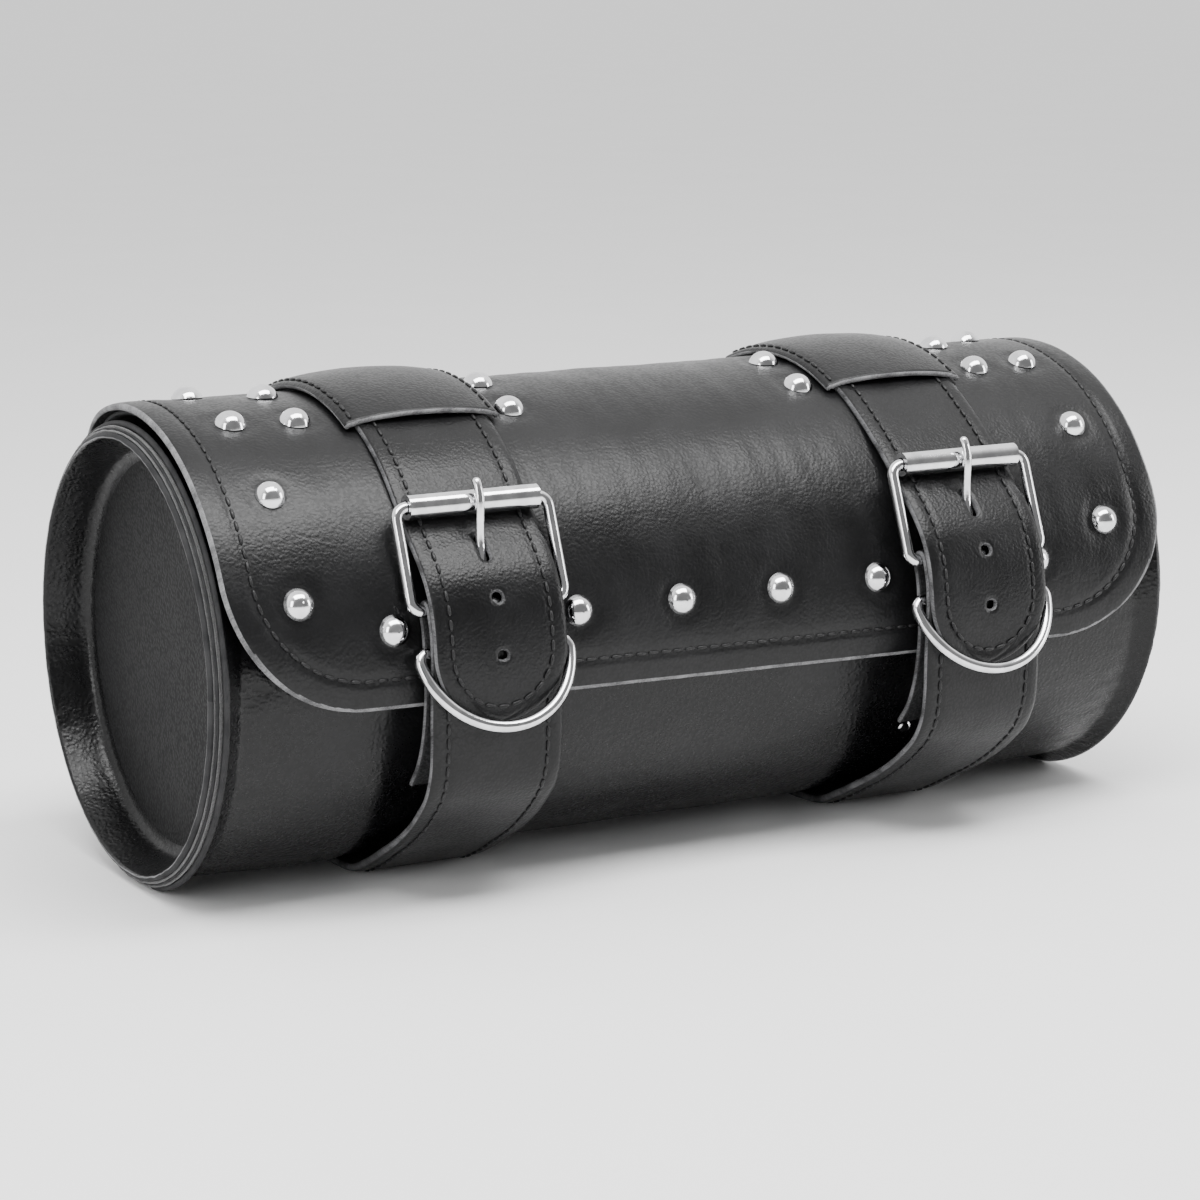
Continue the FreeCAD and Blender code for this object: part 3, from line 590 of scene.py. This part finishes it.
def thread_look(name, colour):
    """Waxed thread."""
    material, shader = new_material(name, Specular_IOR_Level=0.4)
    fuzz = noise_at(material, millimetres(material, True), 0.6)
    darker = tuple(value * 0.5 for value in colour)
    shade = blend_colours(material, fuzz, darker, colour)
    return wear(material, shader, shade, (fuzz, 0.3, 0.7, 0.4, 0.6), fuzz, 0.1)


def chrome(name, gloss=(0.05, 0.13)):
    """Plated steel with faint handling marks."""
    material, shader = new_material(name, Metallic=1.0)
    haze = noise_at(material, millimetres(material, True), 5.0, 4.0)
    scuffs = noise_at(material, millimetres(material, True, (1.0, 5.0, 5.0)), 0.8, 4.0, 0.7)
    colour = toned(material, haze, 0.35, 0.65, (0.66, 0.66, 0.67), (0.82, 0.82, 0.83))
    marks = combine(material, (haze, 0.6), (scuffs, 0.4))
    height = combine(material, (haze, 0.5), (scuffs, 0.1))
    return wear(material, shader, colour, (marks, 0.35, 0.65, *gloss), height, 0.05)


def floor_look():
    """Plain pale paper."""
    material, shader = new_material("studio_paper", Specular_IOR_Level=0.1)
    mottle = noise_at(material, millimetres(material, True), 90.0)
    paper = blend_colours(material, mottle, (0.86, 0.86, 0.86), (0.9, 0.9, 0.9))
    return wear(material, shader, paper, (mottle, 0.3, 0.7, 0.8, 0.9))


# Leathers: darkest and lightest colour, then the range of roughness.
LOOKS = {
    "barrel": leather("barrel_grain", (0.0022, 0.0022, 0.0024), (0.006, 0.006, 0.0065), (0.24, 0.38),
                      grain=1.1, depth=0.075, crease_weight=0.3, coat=0.05),
    "lid": leather("lid_grain", (0.0025, 0.0025, 0.0027), (0.0065, 0.0065, 0.007), (0.29, 0.45),
                   grain=0.95, depth=0.052, crease=19.0, crease_weight=0.35, coat=0.04),
    "belt": leather("belt_grain", (0.0025, 0.0025, 0.0027), (0.007, 0.007, 0.0075), (0.28, 0.42),
                    grain=0.85, depth=0.06, crease=9.0),
    "end": leather("end_grain", (0.003, 0.003, 0.0032), (0.008, 0.008, 0.0085), (0.6, 0.8),
                   grain=1.0, depth=0.14, crease=22.0, specular=0.2),
    "suede": leather("flesh_side", (0.02, 0.02, 0.021), (0.045, 0.045, 0.046), (0.8, 0.95),
                     grain=0.7, depth=0.2, crease=9.0, crease_weight=0.1, specular=0.2),
    "edge": raw_edge("pale_cut_edge", (0.06, 0.06, 0.062), (0.24, 0.24, 0.245)),
    "belt_edge": raw_edge("belt_cut_edge", (0.02, 0.02, 0.021), (0.14, 0.14, 0.145)),
    "dark_edge": raw_edge("inked_edge", (0.008, 0.008, 0.009), (0.03, 0.03, 0.031)),
    "felt": felt("grey_felt", (0.012, 0.012, 0.0125), (0.05, 0.05, 0.051)),
    "cloth": woven("lining_cotton", (0.02, 0.02, 0.021), (0.05, 0.05, 0.052)),
    "thread": thread_look("waxed_thread", (0.004, 0.004, 0.0045)),
    "chrome": chrome("mirror_chrome"),
    "stud": chrome("stud_chrome", (0.06, 0.16)),
    "board": felt("black_card", (0.012, 0.012, 0.012), (0.035, 0.034, 0.033), solid=True),
}
BELT_LOOKS = [LOOKS["belt"], LOOKS["belt_edge"], LOOKS["suede"]]


# Barrel


def belt_dip(along):
    """1 where a belt crosses the barrel, 0 away from them."""
    nearest = np.minimum(np.abs(along - BELT_MIDDLE["left"]), np.abs(along - BELT_MIDDLE["right"]))
    return 1 - smooth(nearest, 19.0, 27.0)


def barrel_radius(along, angle):
    """Radius of the barrel's leather: full between the belts and ends, drawn in at the end seams."""
    far = np.abs(along)
    fullness = smooth(far, GROOVE_ALONG, 118.0) * (1 - belt_dip(along))
    loose = 0.75 + 0.25 * rough(along, angle * 1.1, 46.0, 1)
    body = BODY_RADIUS + 1.35 * fullness * loose
    body = body - (BODY_RADIUS - GROOVE_RADIUS) * smooth(far, 143.0, GROOVE_ALONG)
    flare = (LIP_RADIUS - GROOVE_RADIUS) * np.clip((far - GROOVE_ALONG) / 5.5, 0, 1) ** 1.25
    near_seam = np.exp(-((far - 146.5) / 4.5) ** 2)
    puckers = rough(along * 0.12 + np.sign(along) * 40, angle * 1.1, 3.1, 2) * 0.55 * near_seam
    wrinkles = rough(along, angle * 1.1, 17.0, 3) * 0.28 * (1 - 0.6 * belt_dip(along))
    fine = rough(along * 0.35, angle * 1.1, 5.0, 4) * 0.12
    return body + flare + puckers + (wrinkles + fine) * (1 - smooth(far, 146.0, 150.0))


def barrel_columns():
    """Places along the barrel: close together near the end seams, and on the mouth's ends."""
    near = (155.0, 154.4, 153.5, 152.5, 151.5, 150.6, 149.8, 149.0, 148.0, 147.0, 145.8, 144.5, 142.8)
    middle = np.linspace(-MOUTH_ALONG, MOUTH_ALONG, 119)
    return np.concatenate([-np.array(near), middle, np.array(near)[::-1]])


def mouth_cells(along, angle, half_step):
    """Which cells of a grid round the barrel lie in its mouth."""
    beside = np.abs(along[:, :-1] + along[:, 1:]) / 2
    turn = angle[:, :-1] + half_step
    return (beside < MOUTH_ALONG) & (turn > MOUTH_FRONT) & (turn < MOUTH_BACK)


def make_barrel():
    """The barrel's leather with its long mouth under the lid."""
    angles = np.arange(0, 360, 1.25)
    along, angle = np.meshgrid(barrel_columns(), angles)
    grid = around(along, barrel_radius(along, angle), angle)
    lowest = -(AXIS.z / MM) + 0.05
    grid[..., 2] = np.maximum(grid[..., 2], lowest)
    flat = np.stack([along, np.radians(angle) * SHELL_FLAT_RADIUS], axis=-1)
    mouth = mouth_cells(along, angle, 0.6)
    materials = [LOOKS["barrel"], LOOKS["dark_edge"], LOOKS["suede"]]
    barrel = slab("barrel_leather", grid, SHELL_SKIN, flat, materials, keep=~mouth, wrap=True)
    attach(barrel, "bag")
    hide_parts("barrel_shell")


def make_lining():
    """The cotton that lines the barrel, left open at the mouth."""
    angles = np.arange(0, 360, 2.5)
    places = np.concatenate([[-CLOTH_HALF], np.linspace(-MOUTH_ALONG, MOUTH_ALONG, 95), [CLOTH_HALF]])
    along, angle = np.meshgrid(places, angles)
    radius = 60.75 + 0.22 * rough(along, angle * 1.1, 22.0, 8)
    grid = around(along, radius, angle)
    flat = np.stack([along, np.radians(angle) * CLOTH_FLAT_RADIUS], axis=-1)
    mouth = mouth_cells(along, angle, 1.2)
    lining = slab("barrel_lining", grid, 0.7, flat, [LOOKS["cloth"]] * 3, keep=~mouth, wrap=True)
    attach(lining, "bag")
    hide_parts("barrel_liner")


def make_end(name, side):
    """The recessed end panel with its turned-out wall."""

    def wave(along, radius, angle):
        inside = smooth(radius, 57.0, 40.0)
        heights = rough(radius * np.cos(np.radians(angle)), radius * np.sin(np.radians(angle)), 26.0, 5)
        rim = smooth(along, 152.0, 158.0) * rough(angle * 1.05, angle * 0, 3.4, 6 + side)
        return along + heights * 0.5 * inside, radius + rim * 0.22

    disc = [(DISC_ALONG, radius) for radius in (0.0, 6.0, 14.0, 22.0, 30.0, 38.0, 44.0, 49.0, 53.0, 55.4)]
    corner = ((0.25, 57.0), (0.9, 58.3), (2.0, 59.1), (3.6, 59.5))
    wall = [(DISC_ALONG + out, radius) for out, radius in corner]
    wall += [(151.2, 59.9), (153.6, 60.5), (156.0, 61.2), (158.2, 61.85), (159.2, 62.15)]
    edge = [(159.3, 62.5), (159.0, 63.1), (158.5, 63.6)]
    back = [(154.0, 62.2), (150.5, 61.75), (DISC_ALONG, 61.7)]
    back += [(DISC_ALONG - SHELL_SKIN, 60.2), (DISC_ALONG - SHELL_SKIN, 0.0)]
    spots = [0] * 9 + [1] * 9 + [2] + [3] * len(edge) + [0] * len(back)
    materials = [LOOKS["end"], LOOKS["barrel"], LOOKS["edge"], LOOKS["dark_edge"]]
    panel = lathe(f"end_cup_{name}", side, disc + wall + edge + back, spots, materials, wave)
    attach(panel, "bag")
    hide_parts(f"end_panel_{name}")


def make_welt(name, side):
    """The three layers of felt in the seam round an end."""

    def settle(along, radius, angle):
        ragged = rough(angle * 1.15, along * 2, 2.6, 9 + side)
        return along + ragged * 0.16, radius + ragged * 0.16

    inner = [(152.2, 62.35), (152.2, 62.85), (155.6, 64.7)]
    layers = []
    for layer in range(3):
        for share, out in ((0.06, -0.1), (0.3, 0.28), (0.7, 0.28), (0.94, -0.1)):
            down = (layer + share) / 3 * 1.72
            layers.append((156.35 + down + out, 65.32 - down + out))
    spots = [0] * 7 + [1] * 4 + [0] * 5  # the middle layer is dark
    looks = [LOOKS["felt"], LOOKS["dark_edge"]]
    welt = lathe(f"end_felt_{name}", side, inner + layers + [(157.4, 63.3)], spots, looks, settle, 360)
    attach(welt, "bag")
    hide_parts(f"end_welt_{name}")


# Lid


def lid_edge_distance(along, arc):
    """Distance of a place on the lid from its nearest cut edge, round the front corners too."""
    beside = LIP_ALONG - np.abs(along)
    corner = LID_CORNER - np.hypot(np.maximum(LID_CORNER - beside, 0), np.maximum(LID_CORNER - arc, 0))
    straight = np.minimum(beside, arc)
    return np.where((beside < LID_CORNER) & (arc < LID_CORNER), corner, straight)


def lid_rows():
    """Arc lengths from the front edge, and how wide the lid's half is at each."""
    turns = np.radians(np.linspace(0, 90, 30))
    corner_arcs = LID_CORNER * (1 - np.cos(turns))
    corner_halves = LIP_ALONG - LID_CORNER + LID_CORNER * np.sin(turns)
    end = math.radians(HEM_END_ANGLE - LID_EDGE_ANGLE) * LID_RADIUS
    straight = np.linspace(LID_CORNER, end, 118)[1:]
    arcs = np.concatenate([corner_arcs, straight])
    return arcs, np.concatenate([corner_halves, np.full(len(straight), LIP_ALONG)])


def lid_taper(angle):
    """Share of its width that the lid keeps at an angle, as it narrows between the end rims."""
    return 1 - (LIP_ALONG - LID_BACK_HALF) / LIP_ALONG * smooth(angle, 100.0, 150.0)


def lid_surface(flat):
    """Outer surface of the lid's leather at places (along, arc length from its front edge)."""
    along, arc = flat[..., 0], flat[..., 1]
    angle = LID_EDGE_ANGLE + np.degrees(arc / LID_RADIUS)
    angle = angle + LID_EDGE_SLOPE * along * (1 - smooth(arc, 0.0, 80.0))
    back = smooth(angle, 139.0, 151.5)
    radius = LID_RADIUS - HEM_SINK * back
    inset = lid_edge_distance(along, arc)
    groove = 0.55 * np.exp(-((inset - STITCH_INSET) / 0.95) ** 2) * (1 - smooth(angle, 138.0, 142.0))
    rolled = 0.5 * np.exp(-inset / 1.1)
    swell = rough(along, arc, 48.0, 11) * 0.4 + rough(along, arc, 15.0, 12) * 0.14
    folds = rough(along, arc * 0.16, 5.2, 13) * 0.13
    wavy = rough(along, arc * 0.2, 33.0, 14) * 0.45 * np.exp(-inset / 10.0)
    radius = radius - groove - rolled + swell + folds + wavy
    for stud_along, stud_angle in STUDS:
        for _, side in SIDES:
            away = np.hypot(along - side * stud_along, np.radians(angle - stud_angle) * LID_RADIUS)
            radius = radius - (swell + folds) * np.exp(-(away / 7.0) ** 4)
            radius = radius - 0.4 * np.exp(-((away - 5.6) / 1.5) ** 2)
    for middle in BELT_MIDDLE.values():
        under = 1 - smooth(np.abs(along - middle), 19.5, 26.0)
        covered = smooth(angle, 58.0, 66.0)
        radius = radius - np.maximum(swell + folds + 0.12, 0) * under * covered
    return around(along * lid_taper(angle), radius, angle, LID_RISE * (1 - back))


def make_lid():
    """The lid's leather from its front edge over to its sewn hem on the back."""
    arcs, halves = lid_rows()
    inner = np.linspace(-0.975, 0.975, 205)
    near_edge = np.array([0.9825, 0.9882, 0.9925, 0.996, 1.0])
    shares = np.concatenate([-near_edge[::-1], inner, near_edge])
    along, arc = fanned(halves, arcs, shares)
    flat = np.stack([along, arc], axis=-1)
    materials = [LOOKS["lid"], LOOKS["edge"], LOOKS["suede"]]
    surface = lid_surface(flat)
    rim = cell_middles(lid_edge_distance(along, arc)) < RIM_WIDTH
    cover = slab("lid_cover", surface, LID_SKIN, flat, materials, normals=from_axis(surface), rim=rim)
    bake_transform(cover)
    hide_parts("lid_leather", "lid_hem")
    seam = stitches("lid_stitches", lid_seams())
    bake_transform(seam)


def lid_seams():
    """Lines of the lid's stitches: round its front edge, and across the hem on the back."""
    turns = np.radians(np.linspace(0, 90, 40))
    bend = LID_CORNER - STITCH_INSET
    reach = LIP_ALONG - LID_CORNER
    end = math.radians(139.0 - LID_EDGE_ANGLE) * LID_RADIUS
    side_arcs = np.linspace(end, LID_CORNER, 160)
    right = [(LIP_ALONG - STITCH_INSET, arc) for arc in side_arcs]
    right += [(reach + bend * math.cos(turn), LID_CORNER - bend * math.sin(turn)) for turn in turns]
    front = [(place, STITCH_INSET) for place in np.linspace(reach, -reach, 200)[1:-1]]
    left = [(-place, arc) for place, arc in reversed(right)]
    lines = [right + front + left]
    for angle in (153.5, 159.5):
        arc = math.radians(angle - LID_EDGE_ANGLE) * LID_RADIUS
        lines.append([(place, arc) for place in np.linspace(-150.0, 150.0, 240)])
    return [facing(lid_surface, np.array(line), 0.5) for line in lines]


def make_lid_lining():
    """The suede that lines the lid."""
    arcs, halves = lid_rows()
    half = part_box("lid_lining")[1].x / MM - LINING_INSET
    angles = LID_EDGE_ANGLE + np.degrees(arcs / LID_RADIUS)
    shown = angles < 141.0
    arcs = arcs[shown] + 3.0
    halves = halves[shown] - LIP_ALONG + half
    angles = angles[shown] + 2.5
    shares = np.linspace(-1, 1, 91)
    along, angle = fanned(halves, angles, shares)
    angle = angle + LID_EDGE_SLOPE * along * (1 - smooth(arcs, 0.0, 80.0))[:, None]
    radius = LINING_RADIUS + rough(along, angle * 1.2, 30.0, 15) * 0.1
    grid = around(along * lid_taper(angle), radius, angle, LID_RISE)
    flat = np.stack(fanned(halves, arcs, shares), axis=-1)
    looks = [LOOKS["suede"], LOOKS["dark_edge"], LOOKS["suede"]]
    lining = slab("lid_suede", grid, 1.2, flat, looks, normals=from_axis(grid))
    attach(lining, "lid")
    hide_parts("lid_lining")


# Belts


# A run of a belt: where its middle stands along the barrel, its middle line as (y, z) points, turn,
# its thickness at each point, and the seed of its roughness. turn is 1 where the line leads from the
# front over the top, the back and underneath, and -1 where it leads the other way.
Run = namedtuple("Run", "middle line turn skin seed")


def bulged(points, side):
    """A belt's line, with the right belt's stand-off from the barrel."""
    points = np.array(points, float)
    outward = smooth(points[:, 1], *BULGE_RISE) * smooth(points[:, 1], *BULGE_FALL)
    bulge = RIGHT_BULGE if side > 0 else 0.0
    points[:, 0] -= bulge * outward * (points[:, 0] < -20)
    return points


def polar(angle, radius, rise=0.0):
    """(y, z) of a place round the barrel."""
    turn = math.radians(angle)
    return (-radius * math.cos(turn), radius * math.sin(turn) + rise)


def punched(across, down, holes):
    """Flat grid places with round or long holes opened in it, and the cells that are cut away."""
    places = np.stack([across, down], axis=-1)
    cell_across, cell_down = cell_middles(across), cell_middles(down)
    gone = np.zeros(cell_across.shape, bool)
    for middle, half, radius in holes:
        core = np.clip(down - middle, -half, half)
        offset = np.stack([across, down - middle - core], axis=-1)
        level = np.abs(offset).max(axis=-1)
        length = np.maximum(np.linalg.norm(offset, axis=-1), 1e-9)
        round_places = offset / length[..., None] * (level * radius / 2)[..., None]
        places = places + (round_places - offset) * smooth(level, 5.0, 2.0)[..., None]
        cell_core = np.clip(cell_down - middle, -half, half)
        reach = np.maximum(np.abs(cell_across), np.abs(cell_down - middle - cell_core))
        gone |= reach < 2
    return places, gone


def strap(name, run, holes=(), tip=0.0, slot_cut=None):
    """A run of a belt. tip is the length over which its end is rounded.

    Holes are (place along the line, half length, radius), and slot_cut is where a slot starts and ends."""
    total = line_lengths(run.line)[-1]
    half = BELT_WIDTH / 2
    straight = np.arange(0, total - tip + 0.01, 1.0)
    halves = np.full(len(straight), half)
    places = straight
    if tip:
        bend = np.radians(np.linspace(0, 84, 26))[1:]
        start = straight[-1]
        places = np.concatenate([straight, start + (total - start) * np.sin(bend)])
        halves = np.concatenate([halves, half * np.cos(bend)])
    across, down = fanned(halves, places, np.linspace(-1, 1, 41))
    flat, gone = punched(across, down, holes)
    if slot_cut:
        centre = cell_middles(down)
        gone |= (np.abs(cell_middles(across)) < SLOT_HALF) & (centre > slot_cut[0]) & (centre < slot_cut[1])
    surface = strap_surface(run, flat, halves)
    thick = np.interp(flat[..., 1], line_lengths(run.line), run.skin)
    places = flat + (0.0, run.seed * 31.0)
    normals = strap_normals(run, flat)
    return slab(name, surface, thick, places, BELT_LOOKS, ~gone, flip=run.turn, normals=normals)


def strap_normals(run, flat):
    """Outward directions of a belt run at flat places."""
    lengths = line_lengths(run.line)
    slopes = unit(np.gradient(run.line, lengths, axis=0))
    slope_y, slope_z = (np.interp(flat[..., 1], lengths, slopes[:, column]) for column in range(2))
    return np.stack([0 * slope_y, -run.turn * slope_z, run.turn * slope_y], axis=-1)


def strap_surface(run, flat, halves=None):
    """Outer surface of a belt run at flat places (across, along)."""
    lengths = line_lengths(run.line)
    across, down = flat[..., 0], flat[..., 1]
    y, z = (np.interp(down, lengths, run.line[:, column]) for column in range(2))
    edge = BELT_WIDTH / 2 - np.abs(across)
    if halves is not None:
        edge = np.minimum(edge, halves[:, None] - np.abs(across) + 0 * edge)
    lift = -0.38 * np.exp(-np.maximum(edge, 0) / 0.7)
    lift = lift - 0.26 * np.exp(-((edge - BELT_STITCH_INSET) / 0.8) ** 2)
    lift = lift + rough(across, down + run.seed * 13, 11.0, 21 + run.seed) * 0.13
    lift = lift + 0.12 * (1 - (across / 20) ** 2)
    rise = np.interp(down, lengths, run.skin) / 2 + lift
    return np.stack([run.middle + across, y, z], axis=-1) + strap_normals(run, flat) * rise[..., None]


def strap_stitches(name, run, start, end, tip=0.0):
    """Stitches along both edges of a belt run, joined round its tip."""
    inset = BELT_WIDTH / 2 - BELT_STITCH_INSET
    if tip:
        bend = np.radians(np.linspace(0, 180, 40))
        flat = [(-inset, place) for place in np.arange(start, end, 1.0)]
        flat += [(-inset * math.cos(turned), end + inset * math.sin(turned)) for turned in bend]
        flat += [(inset, place) for place in np.arange(end, start, -1.0)]
        lines = [flat]
    else:
        lines = [[(side * inset, place) for place in np.arange(start, end, 1.0)] for side in (-1, 1)]
    runs = []
    for flat in lines:
        points, normals = facing(lambda places: strap_surface(run, places), np.array(flat), 0.4)
        runs.append((points, normals * run.turn))
    return stitches(name, runs)


def nearest_place(line, height):
    """Length along a line to its point nearest a height."""
    return line_lengths(line)[np.argmin(np.abs(line[:, 1] - height))]


def make_over(name, side):
    """A belt's run over the lid and down the back."""
    top = [polar(angle, BELT_OVER_LID, LID_RISE) for angle in (88, 100, 112, 124, 134)]
    top += [polar(angle, radius) for angle, radius in ((143, 71.3), (149, 69.5), (155, 68.0), (161, 67.7))]
    top += [polar(angle, radius) for angle, radius in ((166, 67.0), (172, 65.6), (180, 65.2), (198, 65.0))]
    line = path_through(top, 1.0)
    run = Run(BELT_MIDDLE[name], line, 1, np.full(len(line), BELT_SKIN), side * 2)
    over = strap(f"belt_over_{name}", run)
    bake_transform(over)
    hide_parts(f"belt_top_{name}")
    seam = strap_stitches(f"belt_over_stitches_{name}", run, 2.0, line_lengths(line)[-1] - 2.0)
    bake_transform(seam)


def make_chape(name, side):
    """A belt's run underneath and up in front, folded round the buckle's bar, with a slot for its prong."""
    points = [polar(angle, 65.0) for angle in (199, 212, 226, 240)]
    points += [(20.0, -62.6), *UNDER_LINE, *CHAPE_LINE]
    for turn in (180, 135, 90, 45, 0):
        angle = math.radians(turn)
        points.append((HEEL[0] + HEEL_REACH * math.cos(angle), HEEL[1] + HEEL_REACH * math.sin(angle)))
    line = path_through(bulged(points + list(TAIL_LINE), side), 1.0)
    ahead = smooth(line[:, 0], -30.0, -66.0) * (line[:, 0] < 0)
    skin = BELT_SKIN - (BELT_SKIN - CHAPE_SKIN) * ahead
    fold = line_lengths(line)[np.argmax(np.where(line[:, 0] < -50, line[:, 1], -999))]
    run = Run(BELT_MIDDLE[name], line, 1, skin, side * 3)
    chape = strap(f"belt_chape_{name}", run, slot_cut=(fold - 8.0, fold + 8.0))
    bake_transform(chape)
    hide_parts(f"belt_rear_{name}", f"chape_{name}")
    seam = strap_stitches(f"belt_chape_stitches_{name}", run, 3.0, fold - 7.0)
    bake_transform(seam)


def make_belt_end(name, side):
    """A belt's free end, with its holes and its rounded tip."""
    start = [polar(angle, BELT_OVER_LID, LID_RISE) for angle in (86, 80, 72)]
    line = path_through(np.vstack([start, bulged(TONGUE_LINE, side)]), 1.0)
    holes = [(round(nearest_place(line, height)), half, radius) for height, half, radius in HOLES]
    run = Run(BELT_MIDDLE[name], line, -1, np.full(len(line), TONGUE_SKIN), side * 4)
    tongue = strap(f"belt_end_{name}", run, holes, TIP_LENGTH)
    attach(tongue, "lid")
    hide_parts(f"belt_tongue_{name}")
    tip_start = line_lengths(line)[-1] - TIP_LENGTH
    seam = strap_stitches(f"belt_end_stitches_{name}", run, 2.0, tip_start, TIP_LENGTH)
    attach(seam, "lid")


def bridge_surface(middle, base, rise, flat, seed):
    """Outer surface of a leather bridge over a belt at flat places (across, angle)."""
    across, angle = flat[..., 0], flat[..., 1]
    height = BRIDGE_LOW + BRIDGE_ARCH * np.maximum(1 - (across / BRIDGE_HALF) ** 2, 0) ** 0.55
    height = height - 0.24 * np.exp(-((np.abs(across) - BRIDGE_SEAM) / 0.7) ** 2)
    height = height + rough(across, angle, 9.0, seed) * 0.1
    return around(middle + across, base + height, angle, rise)


def make_bridge(label, middle, base, rise, angles, body, replaced, seed):
    """A leather loop over a belt, sewn down on both sides of it."""
    steps = np.arange(angles[0], angles[1] + 0.1, 1.0)
    across, angle = np.meshgrid(np.linspace(-BRIDGE_HALF, BRIDGE_HALF, 69), steps)
    surface = bridge_surface(middle, base, rise, np.stack([across, angle], axis=-1), seed)
    places = np.stack([across, np.radians(angle) * base + seed * 40], axis=-1)
    piece = slab(label, surface, BRIDGE_SKIN, places, [LOOKS["belt"], LOOKS["edge"], LOOKS["suede"]])
    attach(piece, body)
    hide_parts(replaced)
    runs = []
    for side in (-1, 1):
        degrees = np.linspace(angles[0] + 1, angles[1] - 1, 60)
        seam = np.stack([np.full(60, side * BRIDGE_SEAM), degrees], axis=-1)
        runs.append(facing(lambda flat: bridge_surface(middle, base, rise, flat, seed), seam, 0.3))
    thread = stitches(f"{label}_stitches", runs)
    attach(thread, body)


def make_bridges(name, side):
    """The keeper on the lid and the loop on the back for one belt."""
    middle = BELT_MIDDLE[name]
    make_bridge(f"lid_keeper_{name}", middle, LID_RADIUS + 0.05, LID_RISE, (64, 112), "lid",
                f"keeper_{name}", 31 + side)
    make_bridge(f"back_loop_{name}", middle, 63.9, 0.0, (178, 216), "bag", f"rear_loop_{name}", 41 + side)


def dress_hardware():
    """Gives the metal parts and the boards kept from the frame their looks."""
    dressed = {"lid_studs": "stud", "body_rivets": "stud"}
    for name, _ in SIDES:
        dressed[f"end_board_{name}"] = "board"
        for part in ("buckle_frame", "buckle_roller", "buckle_prong", "d_ring"):
            dressed[f"{part}_{name}"] = "chrome"
    for node, look in dressed.items():
        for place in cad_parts[node].material_slots:
            place.material = LOOKS[look]


# Studio


def make_camera():
    """The camera, looking at the front and the left end."""
    turn = math.radians(CAMERA_TURN)
    rise = math.radians(CAMERA_RISE)
    right = Vector((math.cos(turn), math.sin(turn), 0))
    back = Vector((math.sin(turn) * math.cos(rise), -math.cos(turn) * math.cos(rise), math.sin(rise)))
    up = back.cross(right)
    data = bpy.data.cameras.new("camera")
    data.sensor_width = 36
    data.lens = CAMERA_LENS
    camera = add_object("camera", data)
    centre = Vector((0, AXIS.y, AXIS.z))
    camera.location = centre + right * CAMERA_SHIFT[0] + up * CAMERA_SHIFT[1] + back * CAMERA_DISTANCE
    camera.rotation_mode = "QUATERNION"
    camera.rotation_quaternion = Matrix((right, up, back)).transposed().to_quaternion()
    bpy.context.scene.camera = camera


def make_lamp(name, place, power, width, height):
    """A large soft lamp aimed at the bag."""
    data = bpy.data.lights.new(name, "AREA")
    data.shape = "RECTANGLE"
    data.size = width
    data.size_y = height
    data.energy = power
    lamp = add_object(name, data)
    lamp.location = place
    lamp.rotation_euler = (Vector(place) - Vector(LAMP_TARGET)).to_track_quat("Z", "Y").to_euler()


def light_surroundings():
    """Even light from behind and above, and dimmer light from the front."""
    world = bpy.data.worlds.new("studio")
    world.use_nodes = True
    place = shader_node(world, "ShaderNodeTexCoord").outputs["Generated"]
    parts = shader_node(world, "ShaderNodeSeparateXYZ", {"Vector": place})
    light = toned(world, parts.outputs["Y"], -0.75, 0.15, (0.16, 0.16, 0.16), (1.0, 1.0, 1.0))
    background = world.node_tree.nodes["Background"]
    world.node_tree.links.new(light, background.inputs["Color"])
    background.inputs["Strength"].default_value = 1.7
    bpy.context.scene.world = world


def make_studio():
    """A pale floor and soft light."""
    mesh = bpy.data.meshes.new("studio_floor")
    corners = [(x * FLOOR_REACH, y * FLOOR_REACH, 0) for x, y in ((-1, -1), (1, -1), (1, 1), (-1, 1))]
    mesh.from_pydata(corners, [], [(0, 1, 2, 3)])
    mesh.materials.append(floor_look())
    floor = add_object("studio_floor", mesh)
    light_surroundings()
    make_lamp("top_lamp", (0.0, -0.35, 1.1), 26, 1.3, 0.5)
    make_lamp("left_lamp", (-1.2, -0.6, 0.5), 6, 0.3, 0.8)
    make_lamp("right_lamp", (1.2, -0.6, 0.4), 6, 0.3, 0.7)


make_camera()
make_barrel()
make_lining()
make_lid()
make_lid_lining()
for side_name, side_sign in SIDES:
    make_end(side_name, side_sign)
    make_welt(side_name, side_sign)
    make_over(side_name, side_sign)
    make_chape(side_name, side_sign)
    make_belt_end(side_name, side_sign)
    make_bridges(side_name, side_sign)
dress_hardware()
make_studio()
